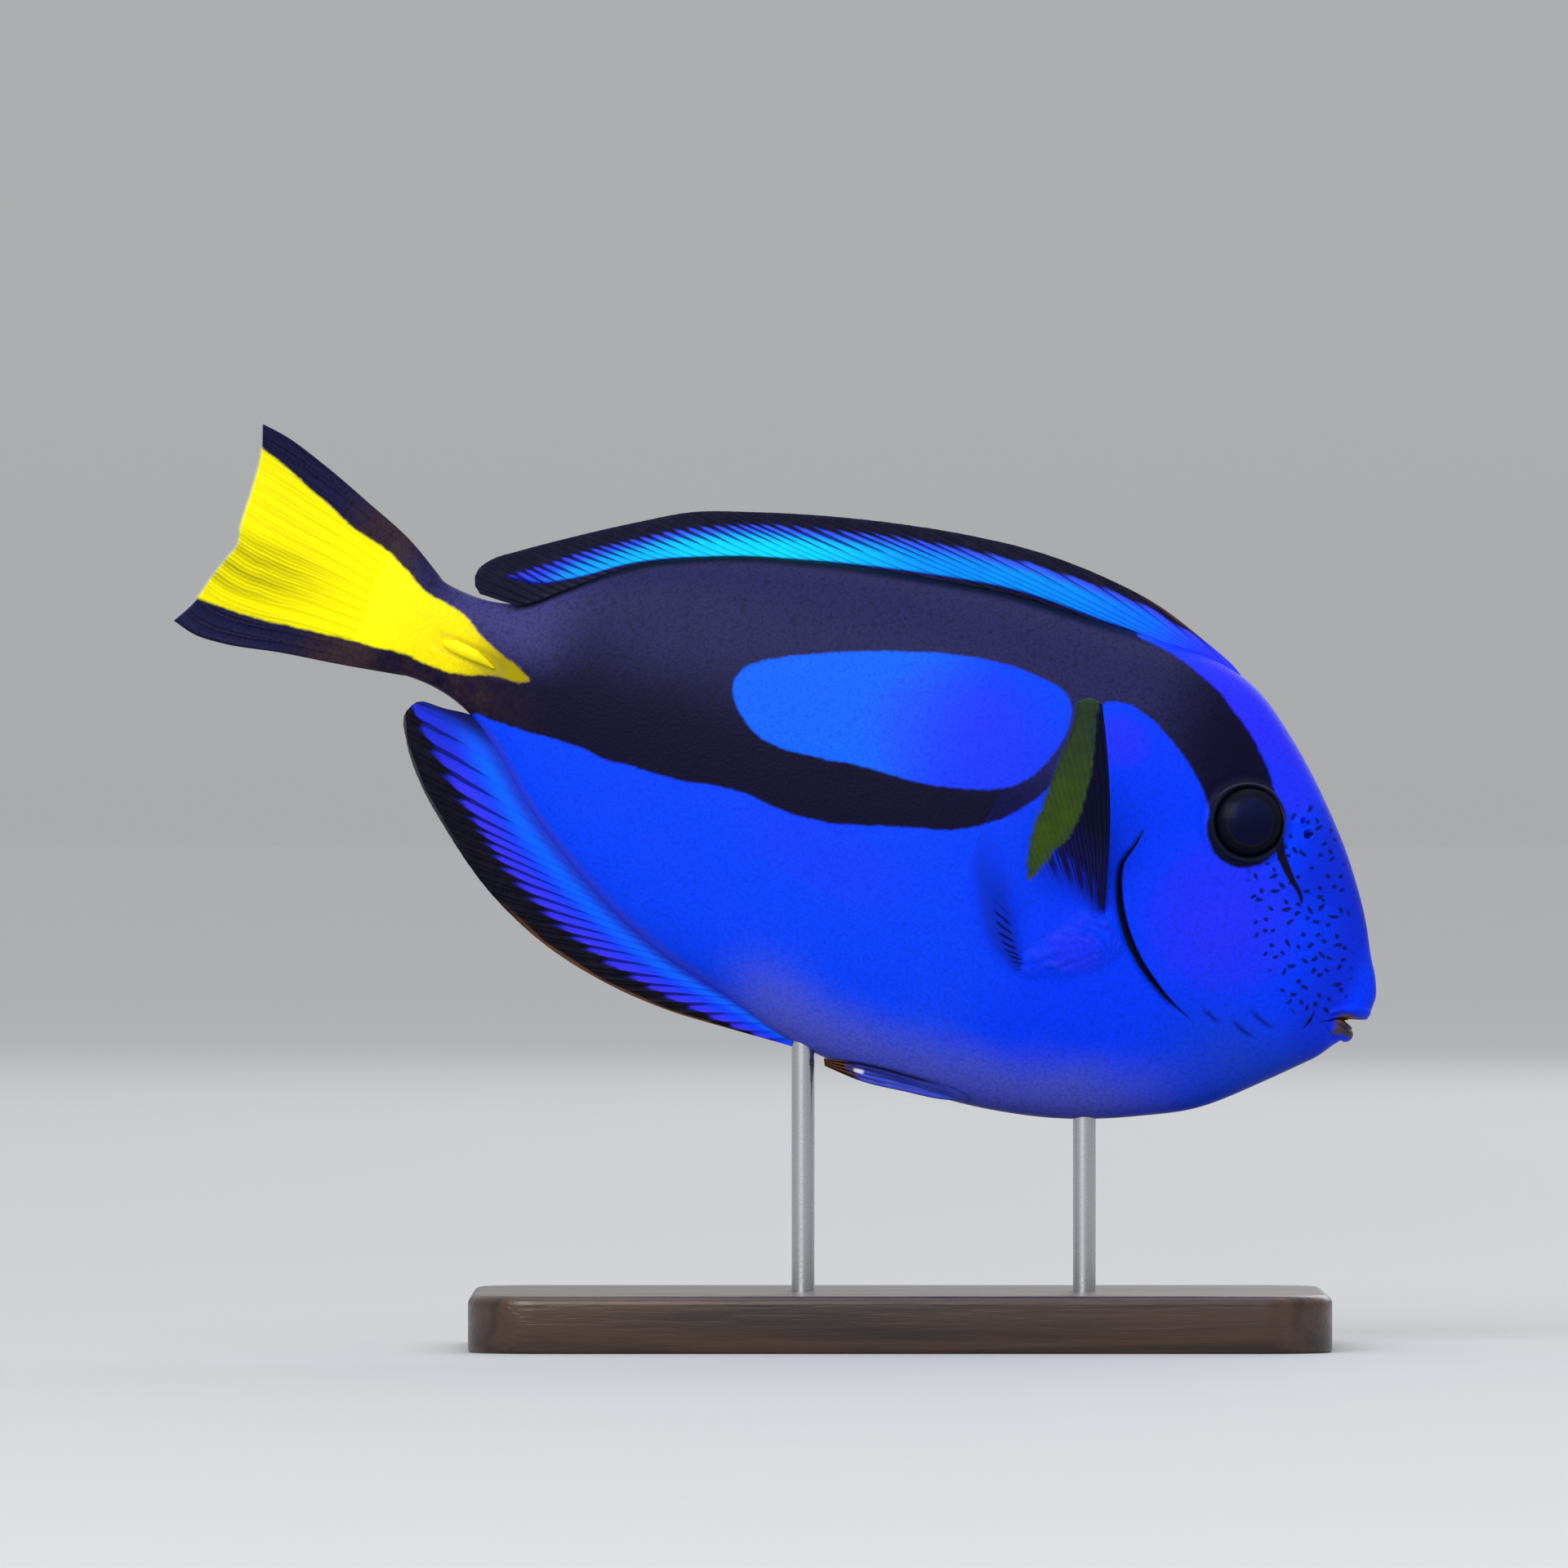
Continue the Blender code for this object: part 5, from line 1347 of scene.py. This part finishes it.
def wood_finish(look):
    """Dark stained hardwood, its grain along the base."""
    f = Finish("stained_wood", roughness=0.34, specular_ior_level=0.45, coat_weight=0.35,
               coat_roughness=0.2)
    stretch = f.add("ShaderNodeMapping", {}, {"Vector": f.place, "Scale": (0.06, 1, 1)})
    rings = f.add("ShaderNodeTexNoise", {},
                  {"Vector": stretch, "Scale": 60, "Detail": 4, "Distortion": 0.6})
    pores = f.add("ShaderNodeTexNoise", {}, {"Vector": stretch, "Scale": 1500, "Detail": 3})
    tone = ((rings * 46).wave() * 0.6 + pores * 0.7 - 0.25).higher(0)
    return f.surface(base_color=f.mix(tone.lower(1), look.grain, look.wood),
                     roughness=0.42 - tone * 0.12, relief=pores.rise(0.35, 0.6) * 0.00004)


def steel_finish(look):
    """Round-brushed steel."""
    f = Finish("brushed_steel", metallic=1.0)
    stretch = f.add("ShaderNodeMapping", {}, {"Vector": f.place, "Scale": (1, 1, 12)})
    brushed = f.add("ShaderNodeTexNoise", {}, {"Vector": stretch, "Scale": 1100, "Detail": 3})
    return f.surface(base_color=f.mix(brushed, toned(look.steel, 0.88), look.steel),
                     roughness=brushed * 0.16 + 0.2, relief=brushed * 0.000003)


class TANG_OT_stand(bpy.types.Operator):
    """The wooden base with rounded edges, and two steel rods"""

    bl_idname = "tang.stand"
    bl_label = "Display stand"

    def execute(self, context):
        look = context.scene.tang_stand
        low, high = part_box("stand_base")
        middle, half = (low + high) / 2, (high - low) / 2
        radius, corner, groove = look.edge_radius, STAND_CORNER * MM, 0.4 * MM
        outline = []
        for cx, cy, start in ((1, 1, 0), (-1, 1, 90), (-1, -1, 180), (1, -1, 270)):
            centre = middle.x + cx * (half.x - corner), middle.y + cy * (half.y - corner)
            outline += [(centre, (math.cos(a), math.sin(a)))
                        for a in np.radians(np.linspace(start, start + 90, 17))]
        rings = [(groove, 0), (0, groove)]
        rings += [(radius * (1 - math.cos(a)), high.z - radius * (1 - math.sin(a)))
                  for a in np.radians(np.linspace(0, 90, 9))]
        form = bmesh.new()
        rows = [[form.verts.new((m[0] + d[0] * (corner - inset), m[1] + d[1] * (corner - inset), z))
                 for m, d in outline] for inset, z in rings]
        for lower, upper in zip(rows, rows[1:]):
            for i, start in enumerate(lower):
                form.faces.new((lower[i - 1], start, upper[i], upper[i - 1]))
        form.faces.new(rows[0][::-1])
        form.faces.new(rows[-1])
        mesh = freed("base_board", form)
        board = finish_piece("base_board", mesh, ("stand_base",), wood_finish(look))
        board.data.set_sharp_from_angle(angle=SHARP_ANGLE)
        steel = steel_finish(look)
        for place in ("front", "rear"):
            low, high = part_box(f"stand_rod_{place}")
            thick, _, tall = high - low
            rod = bmesh.new()
            bmesh.ops.create_cone(rod, cap_ends=True, segments=64, radius1=thick / 2, radius2=thick / 2,
                                  depth=tall)
            rod.transform(Matrix.Translation((low + high) / 2))
            piece = finish_piece(f"rod_{place}", freed(f"rod_{place}", rod), (f"stand_rod_{place}",),
                                 steel)
            piece.data.set_sharp_from_angle(angle=SHARP_ANGLE)
        return {"FINISHED"}


def soft_light(name, place, aim, size, power):
    """A square lamp that faces a point."""
    lamp = bpy.data.lights.new(name, "AREA")
    lamp.shape, lamp.size, lamp.energy = "SQUARE", size, power
    light = bpy.data.objects.new(name, lamp)
    light.location = place
    light.rotation_euler = (Vector(aim) - Vector(place)).to_track_quat("-Z", "Y").to_euler()
    bpy.context.scene.collection.objects.link(light)


class TANG_OT_stage(bpy.types.Operator):
    """Pale floor, soft studio light and the camera, level with the fish on its right side"""

    bl_idname = "tang.stage"
    bl_label = "Stage"

    def execute(self, context):
        look, scene = context.scene.tang_stage, context.scene
        form = bmesh.new()
        bmesh.ops.create_circle(form, cap_ends=True, segments=128, radius=FLOOR_RADIUS)
        floor = bpy.data.objects.new("floor", freed("floor", form))
        scene.collection.objects.link(floor)
        f = Finish("pale_floor", roughness=0.7, specular_ior_level=0.2)
        shown = f.mix(f.noise(40, 4) * 0.02 + 0.02, look.floor, toned(look.floor, 0.8))
        floor.data.materials.append(f.surface(base_color=shown))

        scene.world = bpy.data.worlds.new("studio")
        scene.world.use_nodes = True
        sky = Finish.__new__(Finish)
        sky.tree = scene.world.node_tree
        up = sky.add("ShaderNodeSeparateXYZ", {}, {0: sky.add("ShaderNodeTexCoord")}, "Z")
        dome = sky.tree.nodes["Background"]
        sky.join(dome.inputs["Color"], sky.mix(up.higher(0), (0.4, 0.405, 0.41), (1, 1, 1)))
        aim = (look.aim_x, 0, look.aim_height)
        soft_light("key", (-1.2, -3, 1.75), aim, 2.2, look.key_power)
        soft_light("top", (0.2, 0, 3.3), aim, 2.4, look.key_power * 0.2)
        soft_light("behind", (1.2, 3, 1.75), aim, 2.2, look.key_power * 0.3)

        lens = bpy.data.cameras.new("photo_view")
        lens.lens, lens.sensor_width = look.lens, SENSOR_WIDTH
        lens.clip_start, lens.clip_end = 0.05, 2 * FLOOR_RADIUS
        scene.camera = bpy.data.objects.new("photo_view", lens)
        distance = look.lens * look.frame_width / SENSOR_WIDTH
        scene.camera.location = (look.aim_x, -distance, look.aim_height)
        scene.camera.rotation_euler = (math.pi / 2, 0, 0)
        scene.collection.objects.link(scene.camera)
        scene.view_settings.view_transform = "Standard"
        return {"FINISHED"}


class TANG_PT_panel(bpy.types.Panel):
    """Builds the pieces one by one"""

    bl_idname = "TANG_PT_panel"
    bl_label = "Regal blue tang"
    bl_space_type = "VIEW_3D"
    bl_region_type = "UI"
    bl_category = "Blue tang"

    def draw(self, context):
        for group, (_, steps) in GROUPS.items():
            box = self.layout.box()
            settings = getattr(context.scene, group)
            for name in settings.bl_rna.properties.keys():
                if name not in ("name", "rna_type"):
                    box.prop(settings, name)
            for step in steps:
                box.operator(step.bl_idname)


GROUPS = {
    "tang_stage": (StageSettings, (TANG_OT_stage,)),
    "tang_skin": (SkinSettings, (TANG_OT_skin, TANG_OT_tail_spines)),
    "tang_fins": (FinSettings, (TANG_OT_middle_fins, TANG_OT_tail_fin, TANG_OT_pectoral_fins,
                                TANG_OT_pelvic_fins)),
    "tang_eyes": (EyeSettings, (TANG_OT_eyes,)),
    "tang_stand": (StandSettings, (TANG_OT_stand,)),
}


def register():
    for group, (settings, steps) in GROUPS.items():
        bpy.utils.register_class(settings)
        setattr(bpy.types.Scene, group, PointerProperty(type=settings))
        for step in steps:
            bpy.utils.register_class(step)
    bpy.utils.register_class(TANG_PT_panel)


def unregister():
    bpy.utils.unregister_class(TANG_PT_panel)
    for group, (settings, steps) in GROUPS.items():
        for step in steps:
            bpy.utils.unregister_class(step)
        delattr(bpy.types.Scene, group)
        bpy.utils.unregister_class(settings)


def main():
    register()
    for _, steps in GROUPS.values():
        for step in steps:
            area, name = step.bl_idname.split(".")
            getattr(getattr(bpy.ops, area), name)()


if __name__ == "__main__":
    main()
